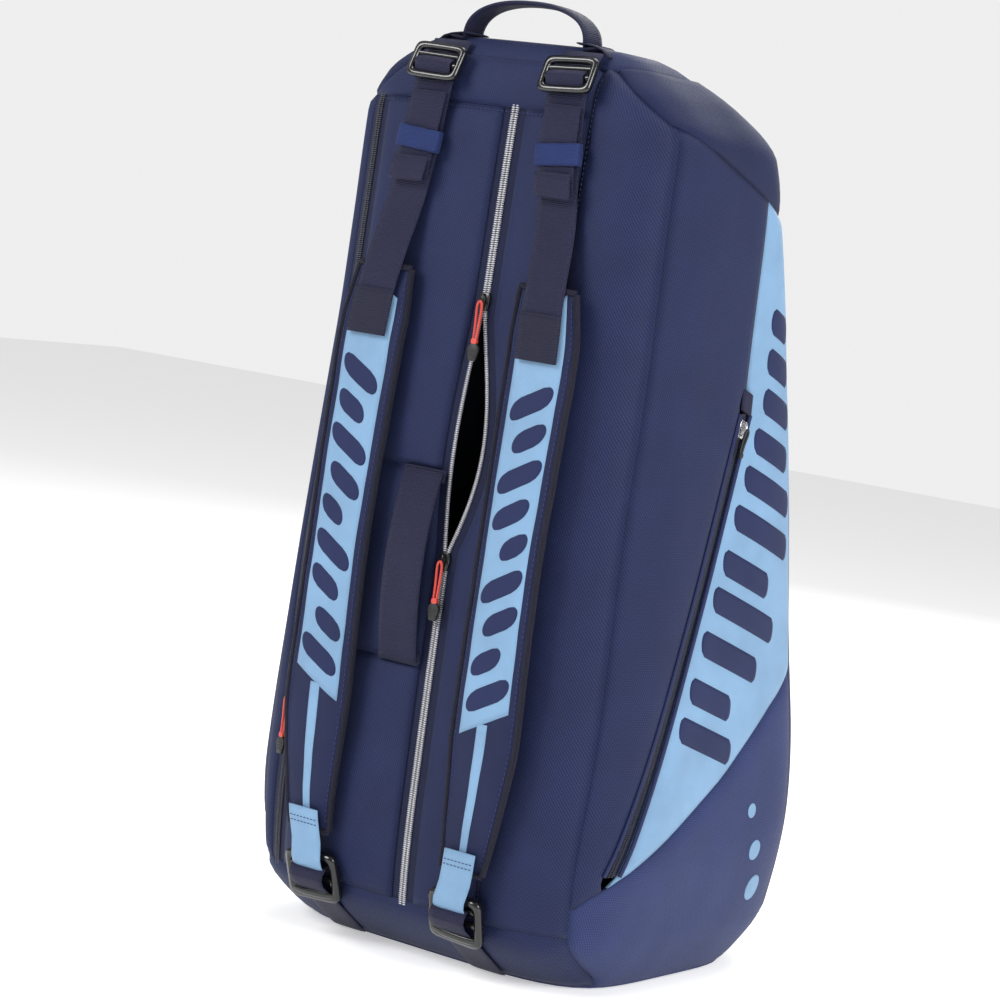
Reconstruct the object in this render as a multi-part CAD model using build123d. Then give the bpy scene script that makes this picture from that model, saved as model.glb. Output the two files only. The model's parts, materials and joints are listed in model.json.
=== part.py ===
from build123d import *
import math
import os

# A tournament bag for rackets, standing on its base.
# X runs across the back, -Y is the back with the shoulder straps, +Z is up.
# Origin: the middle of the box that holds the whole bag, on the floor. All sizes in millimetres.

# ---- body of the bag: one rounded section at each level --------------------------------------
LEVELS = [0, 50, 130, 300, 500, 660, 690, 722]
HALF_WIDTH = [150, 170, 180, 173, 161, 157, 138, 96]
BACK_DEPTH = [98, 152, 157, 158, 154, 150, 148, 132]
FRONT_DEPTH = [165, 205, 203, 165, 115, 44, 8, -55]
BACK_ROUND = 4.6        # superellipse exponent of the back corners
FRONT_ROUND = 4.6       # and of the front corners
PANEL = 3.5             # padded fabric panel, thick
SEAM = 0.6              # clear gap along each seam
CORNER_SEAM = 1.8       # and along the piped corner seams
TOP_Z = LEVELS[-1]
CENTER_Y = 14.3         # the middle of the whole bag lies this far in front of the body's own axis

# ---- seams -----------------------------------------------------------------------------------
KICK_SEAM_Z = 49        # back seam just above the base
YOKE_SEAM_Z = 672       # back seam under the yoke
STRAP_SEAM_X = 81       # seams outside the shoulder straps
GRAB_SEAMS_Z = (236, 387)
CORNER_X = [(0, 146), (50, 151), (200, 157), (400, 152), (600, 149), (672, 149)]
ROOF_CORNER = (149, 670)     # x, z where the corner seam meets the roof
ROOF_PEAK = (103, 709)       # x, z where the strap seam meets the roof
CAP_Z = 710                  # the ridge panel starts here
SIDE_TOP = (45, 618)         # y, z at the front end of the side panel's top edge
SIDE_PEAK_Y = -112           # y at the back end of the side panel's top edge
FRONT_SEAM_SHARE = 0.93      # front corner seams, as a share of the half width
WIDEST_CORNER = 0.95         # the back corner seams stay inside this share of the half width

# ---- zips ------------------------------------------------------------------------------------
CHAIN = 6.5             # coil, wide
TAPE = 3.2              # tape beside the coil, wide
SLOT = 14.4             # slot between panels that holds a zip
RECESS = 3.0            # the coil lies this far under the panel's face
MIDDLE_ZIP = dict(x=12, bottom=51, top=670, low=327, high=514, spread=24, lean=0.75)
LEFT_ZIP = dict(x=-125, bottom=51, top=670, low=192, high=470, spread=16, lean=0.35)
POCKET_TOP = (8, 462)        # y, z of the pocket zip's upper end
POCKET_BOTTOM = (-102, 101)
SLIDER = (10.4, 15)          # slider: width, length
PULL_LOOP = 32               # moulded loop, long
PULL_TAB = 15                # rubber tab, long

# ---- straps and handles ----------------------------------------------------------------------
STRAP_PATH = [(702, 62), (640, 66), (560, 76), (470, 82), (200, 82), (110, 78), (60, 70)]
PAD_TOP, PAD_BOTTOM = 540, 88
PAD_WIDTH, PAD_THICK = 60, 10
PAD_GAP = 11            # clear space behind the pad at mid height
WEBBING = (36, 1.8)     # shoulder webbing: width, thickness
WEBBING_GAP = 6.5       # behind the upper webbing
GRAB_X, GRAB_WIDTH, GRAB_GAP = -17, 37, 9
HANDLE_SPAN, HANDLE_Y, HANDLE_BASE, HANDLE_TOP = 56, -122, 724, 757


def between(z, levels, values):
    """Smooth value at height z through the given levels (monotone Hermite)."""
    slopes = [(values[i + 1] - values[i]) / (levels[i + 1] - levels[i]) for i in range(len(levels) - 1)]
    tangents = [slopes[0]]
    for before, after in zip(slopes, slopes[1:]):
        same_way = before * after > 0
        tangents.append(2 * before * after / (before + after) if same_way else 0)
    tangents.append(slopes[-1])
    z = min(max(z, levels[0]), levels[-1])
    i = max(j for j in range(len(slopes)) if levels[j] <= z)
    span = levels[i + 1] - levels[i]
    t = (z - levels[i]) / span
    return ((1 + 2 * t) * (1 - t) ** 2 * values[i] + t * (1 - t) ** 2 * span * tangents[i]
            + t * t * (3 - 2 * t) * values[i + 1] + t * t * (t - 1) * span * tangents[i + 1])


def half_width(z):
    return between(z, LEVELS, HALF_WIDTH)


def back(z):
    return between(z, LEVELS, BACK_DEPTH)


def front(z):
    return between(z, LEVELS, FRONT_DEPTH)


def corner_x(z):
    """Place of the corner seam between the back and the right side."""
    return min(between(z, [level for level, _ in CORNER_X], [x for _, x in CORNER_X]),
               half_width(z) * WIDEST_CORNER)


def around(z, turn):
    """Point of the section at height z; turn is 0 at the back, 90 at +X, 180 at the front."""
    turn = math.radians(turn)
    across, along = math.sin(turn), -math.cos(turn)
    power = 2 / (BACK_ROUND if along < 0 else FRONT_ROUND)
    middle, reach = (front(z) - back(z)) / 2, (front(z) + back(z)) / 2
    x = half_width(z) * math.copysign(abs(across) ** power, across)
    y = middle + reach * math.copysign(abs(along) ** power, along)
    return x, y


def turn_at_x(z, x, at_front=False):
    share = min(abs(x) / half_width(z), 1)
    turn = math.degrees(math.asin(share ** ((FRONT_ROUND if at_front else BACK_ROUND) / 2)))
    return math.copysign(180 - turn if at_front else turn, x)


def face_y(z, x):
    """Outer face of the back at height z and place x."""
    return around(z, turn_at_x(z, x))[1]


def side_x(z, y):
    """Outer face of the right side at height z and depth y."""
    middle, reach = (front(z) - back(z)) / 2, (front(z) + back(z)) / 2
    power = BACK_ROUND if y < middle else FRONT_ROUND
    return half_width(z) * (1 - min(abs(y - middle) / reach, 1) ** power) ** (1 / power)


def run_points(z, first, last, depth, count):
    """Points evenly spaced along the section from turn first to last, depth inside the face."""
    fine = 160
    turns = [first + (last - first) * i / fine for i in range(fine + 1)]
    line = [around(z, turn) for turn in turns]
    length = [0.0]
    for a, b in zip(line, line[1:]):
        length.append(length[-1] + math.dist(a, b))
    points = []
    for i in range(count + 1):
        want = length[-1] * i / count
        j = min(max(k for k in range(fine + 1) if length[k] <= want + 1e-9), fine - 1)
        share = (want - length[j]) / max(length[j + 1] - length[j], 1e-9)
        x = line[j][0] + (line[j + 1][0] - line[j][0]) * share
        y = line[j][1] + (line[j + 1][1] - line[j][1]) * share
        ahead, behind = line[min(j + 2, fine)], line[max(j - 1, 0)]
        dx, dy = ahead[0] - behind[0], ahead[1] - behind[1]
        size = math.hypot(dx, dy)
        points.append((x - dy / size * depth, y + dx / size * depth, z))
    return points


def heights(low, high, step=70):
    count = max(1, math.ceil((high - low) / step))
    return [low + (high - low) * i / count for i in range(count + 1)]


def shell(levels, first, last, outside=0.0, thick=PANEL, count=8):
    """Curved wall between turns first(z) and last(z), through the given heights."""
    faces = []
    for z in levels:
        outer = run_points(z, first(z), last(z), outside, count)
        inner = run_points(z, first(z), last(z), outside + thick, count)[::-1]
        faces.append(make_face([Spline(outer), Line(outer[-1], inner[0]),
                                Spline(inner), Line(inner[-1], outer[0])]))
    return loft(faces)


def back_wall(levels, from_x, to_x, **kwargs):
    return shell(levels, lambda z: turn_at_x(z, from_x(z) + SEAM / 2),
                 lambda z: turn_at_x(z, to_x(z) - SEAM / 2), **kwargs)


def ribbon(path, width, thick):
    """Flat band of webbing: path of (x, y, z) at the middle of the face nearest the bag."""
    faces = []
    for x, y, z in path:
        faces.append(Plane.XY.offset(z) * Pos(x, y - thick / 2) * Rectangle(width, thick))
    return loft(faces)


def slab(corners, low_x, high_x):
    """Block with the given outline in y and z, between two x."""
    corners = [c for i, c in enumerate(corners) if math.dist(c, corners[i - 1]) > 0.01]
    outline = make_face(Polyline([(low_x, y, z) for y, z in corners], close=True))
    return extrude(outline, amount=high_x - low_x, dir=(1, 0, 0))


# ---- back panels -----------------------------------------------------------------------------
def gap_share(zip_line, z):
    """0 where the zip is closed, up to 1 in the middle of the open stretch."""
    low, high = zip_line["low"], zip_line["high"]
    if not low < z < high:
        return 0
    return math.sin(math.pi * ((z - low) / (high - low)) ** 0.85) ** 1.2


def zip_edges(zip_line, z):
    """x of the left and right half of the coil's meeting line."""
    opened = zip_line["spread"] * gap_share(zip_line, z)
    right = opened * zip_line["lean"]
    return zip_line["x"] - (opened - right), zip_line["x"] + right


def left_of(zip_line):
    return lambda z: zip_edges(zip_line, z)[0] - SLOT / 2


def right_of(zip_line):
    return lambda z: zip_edges(zip_line, z)[1] + SLOT / 2


def make_back():
    low, high = KICK_SEAM_Z + SEAM / 2, YOKE_SEAM_Z - SEAM / 2
    nodes = {}
    all_levels = heights(low, high, 26)

    def corner(z):
        return corner_x(z) - CORNER_SEAM / 2
    nodes["back_panel_left"] = back_wall(all_levels, lambda z: -corner(z), left_of(LEFT_ZIP))
    grab_low, grab_high = GRAB_SEAMS_Z
    bands = {"back_panel_center_lower": (low, grab_low - SEAM / 2),
             "back_panel_center_middle": (grab_low + SEAM / 2, grab_high - SEAM / 2),
             "back_panel_center_upper": (grab_high + SEAM / 2, high)}
    for name, (start, end) in bands.items():
        nodes[name] = back_wall(heights(start, end, 26), right_of(LEFT_ZIP), left_of(MIDDLE_ZIP))
    nodes["back_panel_inner_right"] = back_wall(all_levels, right_of(MIDDLE_ZIP), lambda z: STRAP_SEAM_X)
    # The outer right panel rises past the yoke seam to a slanted top edge.
    rise = heights(high, CAP_Z - SEAM, 12)[1:]
    outer = back_wall(all_levels + rise, lambda z: STRAP_SEAM_X,
                      corner)
    (corner_px, corner_pz), (peak_x, peak_z) = ROOF_CORNER, ROOF_PEAK
    slope = (peak_z - corner_pz) / (peak_x - corner_px)
    start_x = STRAP_SEAM_X - 5
    over = [(start_x, peak_z + slope * (start_x - peak_x)), (corner_px + 20, corner_pz + slope * 20),
            (corner_px + 20, TOP_Z + 60), (start_x, TOP_Z + 60)]
    knife = extrude(make_face(Polyline([(x, -200, z) for x, z in over], close=True)),
                    amount=150, dir=(0, 1, 0))
    nodes["back_panel_outer_right"] = outer - knife
    yoke = back_wall(heights(YOKE_SEAM_Z + SEAM / 2, CAP_Z, 10),
                     lambda z: -STRAP_SEAM_X, lambda z: STRAP_SEAM_X)
    above_seam = Pos(0, 0, YOKE_SEAM_Z + 50 + SEAM) * Box(600, 600, 100)
    wing = mirror(nodes["back_panel_outer_right"] & above_seam, about=Plane.YZ)
    nodes["back_yoke_panel"] = Compound([yoke.solid(), wing.solid()])
    nodes["back_kick_panel"] = back_wall([PANEL, 18, 34, KICK_SEAM_Z - SEAM / 2],
                                         lambda z: -corner(z), lambda z: corner(z), count=12)
    return nodes


# ---- sides, front, roof and base -------------------------------------------------------------
def front_turn(z):
    return turn_at_x(z, half_width(z) * FRONT_SEAM_SHARE, at_front=True)


def roof_edge(y):
    """Height of the side's slanted top edge at depth y."""
    slope = (SIDE_TOP[1] - ROOF_CORNER[1]) / (SIDE_TOP[0] - SIDE_PEAK_Y)
    return ROOF_CORNER[1] + slope * (y - SIDE_PEAK_Y)


def side_outlines(has_zip):
    """Outlines in y and z of a side's three panels."""
    half = SLOT / 2 if has_zip else SEAM / 2
    (top_y, top_z), (bottom_y, bottom_z) = POCKET_TOP, POCKET_BOTTOM
    far = 260

    def roof(y):
        return roof_edge(y) - SEAM
    tip = (bottom_y - 14, bottom_z - 18)
    ends = (top_y + 2, top_z + 14)
    seam = [(-far, 52), (-139, 58), tip, (-40, 128), (30, 172), (95, 226), (far, 330)]
    above = [(y, z + SEAM / 2) for y, z in seam]
    below = [(y, z - SEAM / 2) for y, z in seam]
    split_low, split_high = above[2], (ends[0] + 4, roof(ends[0] + 4))
    upper = (above[:2] + [(split_low[0] - half, split_low[1]), (bottom_y - half, bottom_z),
                          (top_y - half, top_z), (ends[0] - half, ends[1]),
                          (ends[0] - SEAM / 2, ends[1]), (split_high[0] - SEAM / 2, split_high[1]),
                          (-far, roof(-far))])
    pocket = ([(split_low[0] + half, split_low[1] + half * 0.62)] + above[3:]
              + [(far, roof(far) if roof(far) > 340 else 640), (split_high[0] + SEAM / 2, split_high[1]),
                 (ends[0] + SEAM / 2, ends[1]), (ends[0] + half, ends[1]), (top_y + half, top_z),
                 (bottom_y + half, bottom_z)])
    lower = below + [(far, -5), (-far, -5)]
    return upper, pocket, lower


def make_sides():
    nodes = {}
    levels = [PANEL, 22, 50] + heights(90, 672, 66)
    wall = shell(levels, lambda z: turn_at_x(z, corner_x(z) + CORNER_SEAM / 2),
                 lambda z: front_turn(z) - CORNER_SEAM / 2, count=12)
    upper, pocket, lower = side_outlines(True)
    nodes["side_panel_right_upper"] = wall & slab(upper, 90, 220)
    nodes["side_pocket_panel_right"] = wall & slab(pocket, 90, 220)
    nodes["side_panel_right_lower"] = wall & slab(lower, 90, 220)
    upper, pocket, lower = side_outlines(False)
    nodes["side_panel_left_upper"] = mirror(wall & slab(upper, 90, 220), about=Plane.YZ)
    nodes["side_panel_left_graphic"] = mirror(wall & slab(pocket, 90, 220), about=Plane.YZ)
    nodes["side_panel_left_lower"] = mirror(wall & slab(lower, 90, 220), about=Plane.YZ)
    return nodes


def make_front_roof_base():
    nodes = {}
    roof_z = SIDE_TOP[1] - 14
    nodes["front_panel"] = shell([PANEL, 22, 50] + heights(90, roof_z, 70),
                                 lambda z: front_turn(z) + CORNER_SEAM / 2,
                                 lambda z: 360 - front_turn(z) - CORNER_SEAM / 2, count=14)
    # The roof is the rest of the upper shell: the hood over the front, the sides' slopes and the ridge.
    levels = heights(roof_z + SEAM, CAP_Z, 14)
    ring = shell(levels, lambda z: turn_at_x(z, corner_x(z) + CORNER_SEAM / 2),
                 lambda z: 360 - turn_at_x(z, corner_x(z) + CORNER_SEAM / 2), count=28)
    end = SIDE_TOP[0] + 30
    keep_off = slab([(-260, roof_z - 30), (260, roof_z - 30), (260, roof_z + SEAM), (end, roof_edge(end)),
                     (-260, roof_edge(-260))], 70, 240)
    nodes["roof_panel"] = ring - keep_off - mirror(keep_off, about=Plane.YZ)
    cap_z = CAP_Z + SEAM
    rim = make_face(Spline(run_points(cap_z, 0, 360, 0, 40)[:-1], periodic=True))
    crown = make_face(Spline(run_points(TOP_Z, 0, 360, 0, 40)[:-1], periodic=True))
    nodes["ridge_panel"] = loft([rim, crown])
    base = make_face(Spline(run_points(0.01, 0, 360, 0, 40)[:-1], periodic=True))
    nodes["base_panel"] = extrude(base, amount=PANEL - SEAM, dir=(0, 0, 1))
    return nodes


# ---- inside ----------------------------------------------------------------------------------
DIVIDER_X = -58
INSIDE = PANEL + 3.6    # linings lie this far inside the outer face


def make_inside():
    nodes = {}
    board = make_face(Spline(run_points(12, 0, 360, 16, 40)[:-1], periodic=True))
    nodes["base_board"] = extrude(board, amount=3, dir=(0, 0, 1))
    levels = [20, 60, 130, 300, 500, 600]
    reach = PANEL + 12
    outline = [(reach - back(z), z) for z in levels] + [(front(z) - reach - 8, z) for z in levels[::-1]]
    nodes["compartment_divider"] = slab(outline, DIVIDER_X - 4, DIVIDER_X + 4)
    behind_zip = back_wall(heights(60, 600, 36), lambda z: -corner_x(z) + 6,
                           lambda z: left_of(LEFT_ZIP)(z) + 3, outside=INSIDE, thick=1, count=4)
    side = shell(heights(60, 590, 66), lambda z: turn_at_x(z, corner_x(z) + 2),
                 lambda z: front_turn(z) - 4, outside=INSIDE, thick=1, count=10)
    nodes["thermal_lining"] = Compound([behind_zip.solid(), mirror(side, about=Plane.YZ).solid()])
    pocket = shell(heights(112, 560, 64), lambda z: turn_at_x(z, corner_x(z) * 0.98),
                   lambda z: front_turn(z) - 4, outside=INSIDE + 12, thick=1.2, count=10)
    nodes["side_pocket_back_wall"] = pocket
    return nodes


# ---- zips ------------------------------------------------------------------------------------
def half_chain(zip_line, side):
    """One tape with its half of the coil; side is -1 or 1."""
    near, far = 0.25, CHAIN / 2 + TAPE

    def edge(offset):
        return lambda z: turn_at_x(z, zip_edges(zip_line, z)[0 if side < 0 else 1] + side * offset)
    first, last = (edge(far), edge(near)) if side < 0 else (edge(near), edge(far))
    return shell(heights(zip_line["bottom"], zip_line["top"], 20), first, last,
                 outside=RECESS, thick=2, count=2)


def zip_plane(zip_line, z):
    """Plane on the coil: x across it, y up along it and z outwards."""
    x = zip_line["x"]
    here, left, right = (Vector(x + d, face_y(z, x + d), z) for d in (0, -2, 2))
    above = Vector(x, face_y(z + 60, x), z + 60)
    across, up = (right - left).normalized(), (above - here).normalized()
    out = across.cross(up)
    return Plane(origin=here - out * RECESS, x_dir=across, z_dir=out)


def slider_pieces(plane, length=PULL_LOOP):
    """Slider body with its bail, and the moulded loop and tab that hang from it, in a zip's plane."""
    width, size = SLIDER
    wings = Pos(0, 0, 2.2) * fillet(Box(width, size, 2).edges().filter_by(Axis.Z), 2.5)
    bail = Pos(0, 0, 5.2) * Box(3.2, 12, 1.4)
    bail += Pos(0, 4.5, 3.9) * Box(3.2, 3, 2) + Pos(0, -5, 3.9) * Box(3.2, 2, 2)
    loop = Box(6, length, 2) - Box(2.4, length - 3.6, 3)
    loop = Pos(0, -length / 2, 7.5) * loop
    outline = Polyline([(-2, 0), (2, 0), (5.4, -4), (3.4, -PULL_TAB), (-3.4, -PULL_TAB), (-5.4, -4)],
                       close=True)
    tab = Pos(0, -length - 0.3, 5.8) * extrude(make_face(outline), amount=3.4)
    return plane * (wings + bail), plane * loop, plane * tab


def make_zips():
    nodes = {}
    for name, line in (("middle_zip", MIDDLE_ZIP), ("left_zip", LEFT_ZIP)):
        for side, word in ((-1, "left"), (1, "right")):
            nodes[f"{name}_{word}_half"] = half_chain(line, side)
        for z, word in ((line["low"] - 8, "lower"), (line["high"] + 8, "upper")):
            slider, loop, tab = slider_pieces(zip_plane(line, z))
            nodes[f"{name}_{word}_slider"] = slider
            nodes[f"{name}_{word}_pull"] = loop
            nodes[f"{name}_{word}_pull_tab"] = tab
    return nodes


def pocket_frame():
    """Plane at the pocket zip's upper end: x across the zip, y along it towards the top, z outwards."""
    (top_y, top_z), (bottom_y, bottom_z) = POCKET_TOP, POCKET_BOTTOM
    top = Vector(side_x(top_z, top_y) - RECESS, top_y, top_z)
    bottom = Vector(side_x(bottom_z, bottom_y) - RECESS, bottom_y, bottom_z)
    along = (top - bottom).normalized()
    out = (Vector(1, 0, 0) - along * along.X).normalized()
    return Plane(origin=top, x_dir=along.cross(out), z_dir=out), (top - bottom).length


def make_pocket_zip():
    plane, length = pocket_frame()
    nodes = {}
    chain = Pos(0, -length / 2, -1) * Box(CHAIN + 2 * TAPE, length - 2, 2)
    nodes["side_pocket_zip"] = plane * chain
    slider, loop, tab = slider_pieces(plane * Pos(0, -12, 0), 24)
    nodes["side_pocket_slider"] = slider
    nodes["side_pocket_pull"] = Compound([loop.solid(), tab.solid()])
    return nodes


# ---- shoulder straps -------------------------------------------------------------------------
def strap_x(z):
    levels = [level for level, _ in STRAP_PATH][::-1]
    return between(z, levels, [x for _, x in STRAP_PATH][::-1])


def strap_y(z, gap):
    """Face nearest the bag of something that lies gap outside the back, over the strap's path."""
    return face_y(z, strap_x(z)) - gap


def pad_gap(z):
    share = (z - PAD_BOTTOM) / (PAD_TOP - PAD_BOTTOM)
    return 7 + (PAD_GAP - 7) * math.sin(math.pi * min(max(share, 0), 1))


def pad_section(z):
    share = (z - PAD_BOTTOM) / (PAD_TOP - PAD_BOTTOM)
    taper = min(1, 0.72 + 1.6 * share, 0.8 + 3 * (1 - share))
    width = PAD_WIDTH * taper
    face = Rectangle(width, PAD_THICK)
    face = fillet(face.vertices(), 3.5)
    return Plane.XY.offset(z) * Pos(strap_x(z), strap_y(z, pad_gap(z)) - PAD_THICK / 2) * face


def frame_buckle(width, height, depth, bars):
    """Rounded frame with cross bars; the slots are what the bars leave open."""
    outer = fillet(Box(width, depth, height).edges().filter_by(Axis.Y), 4)
    slot = (height - 4.5 * (bars + 1)) / bars
    for i in range(bars):
        z = height / 2 - 4.5 - slot / 2 - i * (slot + 4.5)
        outer -= Pos(0, 0, z) * Box(width - 9, depth + 2, slot)
    return outer


TRIGLIDE_Z = 698
LADDER_Z = 52
KEEPER_Z = 640


def strap_plane(z, gap, reach=14):
    """Plane gap outside the back on the strap's path: x across, y up along the strap, z outwards."""
    x = strap_x(z)
    low, high = (Vector(strap_x(h), face_y(h, x) - gap, h) for h in (z - reach, z + reach))
    up = (high - low).normalized()
    out = (Vector(0, -1, 0) - up * Vector(0, -1, 0).dot(up)).normalized()
    return Plane(origin=(low + high) / 2, x_dir=up.cross(out), z_dir=out)


def frame_buckle(width, height, depth):
    """Rounded frame with a middle bar and two slots."""
    bar = 4.5
    frame = fillet(Box(width, height, depth).edges().filter_by(Axis.Z), 4)
    slot = (height - 3 * bar) / 2
    for side in (-1, 1):
        frame -= Pos(0, side * (slot + bar) / 2, 0) * Box(width - 2 * bar, slot, depth + 2)
    return frame


def make_strap():
    """Right shoulder strap; the left one is its mirror image."""
    width, thick = WEBBING
    nodes = {}
    upper = [(strap_x(z), strap_y(z, WEBBING_GAP), z) for z in heights(PAD_TOP + 4, TRIGLIDE_Z + 18, 22)]
    nodes["shoulder_pad"] = loft([pad_section(z) for z in heights(PAD_BOTTOM, PAD_TOP, 56)])
    patch_z = PAD_TOP - 60
    patch = [(strap_x(z), strap_y(z, pad_gap(z)) - PAD_THICK - 0.4, z)
             for z in heights(patch_z, PAD_TOP - 2, 20)]
    nodes["upper_webbing"] = Compound([ribbon(line, width, thick).solid() for line in (upper, patch)])
    tail = [(strap_x(z), strap_y(z, WEBBING_GAP) - thick - 1.4, z)
            for z in heights(608, TRIGLIDE_Z - 24, 22)]
    nodes["webbing_tail"] = ribbon(tail, width - 2, thick)
    keeper = Box(width + 6, 18, 9) - Box(width + 2.4, 20, 6.8)
    nodes["elastic_keeper"] = strap_plane(KEEPER_Z, WEBBING_GAP) * Pos(0, 0, 2.6) * keeper
    plane = strap_plane(TRIGLIDE_Z, WEBBING_GAP)
    nodes["triglide"] = plane * Pos(0, 0, thick + 6.4) * frame_buckle(48, 30, 4)
    nodes["ladder_lock"] = strap_plane(LADDER_Z, 10, 20) * Pos(0, 0, 3) * frame_buckle(50, 40, 6)
    return nodes


def make_lower_webbing():
    """Webbing sewn into the kick seam side of the base; it ends just under the ladder lock."""
    width, thick = WEBBING
    path = [(strap_x(60), face_y(z, 70) - 1.6, z) for z in (5, 12, 20, 28)]
    return ribbon(path, width - 4, thick)


def make_straps():
    nodes = {}
    for name, shape in make_strap().items():
        nodes[f"{name}_right"] = shape
        nodes[f"{name}_left"] = mirror(shape, about=Plane.YZ)
    webbing = make_lower_webbing()
    nodes["lower_webbing_right"] = webbing
    nodes["lower_webbing_left"] = mirror(webbing, about=Plane.YZ)
    return nodes


# ---- handles ---------------------------------------------------------------------------------
def make_handles():
    nodes = {}
    low, high = GRAB_SEAMS_Z
    width, thick = GRAB_WIDTH, 3
    path = []
    for z in heights(low + 8, high - 8, 14):
        share = (z - low - 8) / (high - low - 16)
        path.append((GRAB_X, face_y(z, GRAB_X) - 1.2 - GRAB_GAP * math.sin(math.pi * share) ** 0.7, z))
    nodes["grab_handle"] = ribbon(path, width, thick)
    anchors = [Pos(GRAB_X, face_y(z, GRAB_X) - 1.6, z) * Box(width + 2, 2, 7)
               for z in (low + 3.5, high - 3.5)]
    nodes["grab_handle_anchors"] = Compound([anchor.solid() for anchor in anchors])
    rise = HANDLE_TOP - HANDLE_BASE
    outer, inner = [], []
    for i in range(-6, 7):
        turn = math.radians(i * 12.6)
        flat = abs(math.cos(turn)) ** 0.8
        outer.append((HANDLE_SPAN * math.sin(turn) / math.sin(math.radians(75.6)),
                      HANDLE_BASE + rise * flat))
    inner = [(x * (HANDLE_SPAN - 5) / HANDLE_SPAN, z - 4.6) for x, z in outer[1:-1]][::-1]
    start = (HANDLE_SPAN - 6, outer[-1][1])
    face = make_face([Spline([(x, 0, z) for x, z in outer]),
                      Line((outer[-1][0], 0, outer[-1][1]), (start[0], 0, start[1])),
                      Spline([(start[0], 0, start[1])] + [(x, 0, z) for x, z in inner]
                             + [(-start[0], 0, start[1])]),
                      Line((-start[0], 0, start[1]), (outer[0][0], 0, outer[0][1]))])
    band = extrude(face, amount=11, dir=(0, 1, 0), both=True)
    nodes["top_handle"] = Pos(0, HANDLE_Y, 0) * band
    anchors = [Pos(side * (HANDLE_SPAN + 4), HANDLE_Y, TOP_Z + 2) * Box(22, 24, 3) for side in (-1, 1)]
    nodes["top_handle_anchors"] = Compound([anchor.solid() for anchor in anchors])
    return nodes


def make_bag():
    nodes = {}
    for make in (make_back, make_sides, make_front_roof_base, make_inside, make_zips,
                 make_pocket_zip, make_straps, make_handles):
        nodes.update(make())
    return nodes


if __name__ == "__main__":
    os.makedirs("parts", exist_ok=True)
    for name, shape in make_bag().items():
        export_step(Pos(0, -CENTER_Y, 0) * shape, f"parts/{name}.step")
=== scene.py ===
import json
import math

import bmesh
import bpy
import numpy as np
from mathutils import Matrix, Vector, noise
from mathutils.bvhtree import BVHTree


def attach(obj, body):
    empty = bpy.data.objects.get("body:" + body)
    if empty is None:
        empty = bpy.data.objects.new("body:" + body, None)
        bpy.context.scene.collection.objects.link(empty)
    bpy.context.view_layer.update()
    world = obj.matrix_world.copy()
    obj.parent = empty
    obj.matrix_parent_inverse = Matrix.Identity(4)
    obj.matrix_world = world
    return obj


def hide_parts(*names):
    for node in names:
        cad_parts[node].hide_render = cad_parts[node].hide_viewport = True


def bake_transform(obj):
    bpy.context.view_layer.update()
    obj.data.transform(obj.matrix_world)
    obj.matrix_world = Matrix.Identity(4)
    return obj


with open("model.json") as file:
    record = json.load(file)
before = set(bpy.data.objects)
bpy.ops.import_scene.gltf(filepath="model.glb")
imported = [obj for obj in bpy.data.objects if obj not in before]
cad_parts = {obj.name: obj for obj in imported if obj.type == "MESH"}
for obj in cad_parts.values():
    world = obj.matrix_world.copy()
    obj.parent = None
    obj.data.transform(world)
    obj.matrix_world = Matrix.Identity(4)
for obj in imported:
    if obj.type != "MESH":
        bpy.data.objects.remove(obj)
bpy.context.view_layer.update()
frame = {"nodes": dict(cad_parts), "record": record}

bl_info = {
    "name": "Racket tournament bag",
    "version": (1, 0, 0),
    "blender": (4, 5, 0),
    "location": "View3D > Sidebar > Bag",
    "description": "Builds a tall racket bag with zips, padded straps and handles around its packed model",
    "category": "Object",
}

# ---- the bag's form, in millimetres, as the packed model has it ----------------------------------
LEVELS = [0, 50, 130, 300, 500, 660, 690, 722]
HALF_WIDTH = [150, 170, 180, 173, 161, 157, 138, 96]
BACK_DEPTH = [98, 152, 157, 158, 154, 150, 148, 132]
FRONT_DEPTH = [165, 205, 203, 165, 115, 44, 8, -55]
ROUND = 4.6
CENTER_Y = 14.3
CAP_Z, TOP_Z = 710, 722
KICK_SEAM_Z, YOKE_SEAM_Z = 49, 672
STRAP_SEAM_X = 81
GRAB_SEAMS_Z = (236, 387)
CORNER_X = [(0, 146), (50, 151), (200, 157), (400, 152), (600, 149), (672, 149)]
WIDEST_CORNER, FRONT_SEAM_SHARE = 0.95, 0.93
SIDE_PEAK_Y, SIDE_PEAK_Z, SIDE_TOP = -112, 670, (45, 618)
HOOD_Z = 604
HOOD_CORNER, HOOD_SLANT = (150, 668), 1.42
POCKET_TOP, POCKET_BOTTOM = (8, 462), (-102, 101)
PANEL_SEAM = [(-260, 52), (-139, 58), (-116, 83), (-40, 128), (30, 172), (95, 226), (260, 330)]
MIDDLE_ZIP = dict(x=12, bottom=51, top=670, low=327, high=514, spread=24, lean=0.75)
LEFT_ZIP = dict(x=-125, bottom=51, top=670, low=192, high=470, spread=16, lean=0.35)
PLACKET, POCKET_LIP, RECESS = 10.5, 7.0, 3.0
STRAP_PATH = [(702, 62), (640, 66), (560, 76), (470, 82), (200, 82), (110, 78), (60, 70)]
PAD_TOP, PAD_BOTTOM, PAD_THICK = 540, 88, 10
WEBBING_GAP, WEBBING_WIDTH, WEBBING_THICK = 6.5, 36, 1.8
TRIGLIDE_Z, LADDER_Z, KEEPER_Z = 698, 52, 640
GRAB_X, GRAB_WIDTH, GRAB_GAP = -17, 37, 9
HANDLE_SPAN, HANDLE_Y, HANDLE_BASE, HANDLE_TOP = 56, -122, 724, 757
MIDDLE_LINE_Y = 10
OUTSIDE_X = 215
PRINT_LIFT, PRINT_SINK = 0.35, 0.3
GROUND_GAP = 0.15


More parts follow.
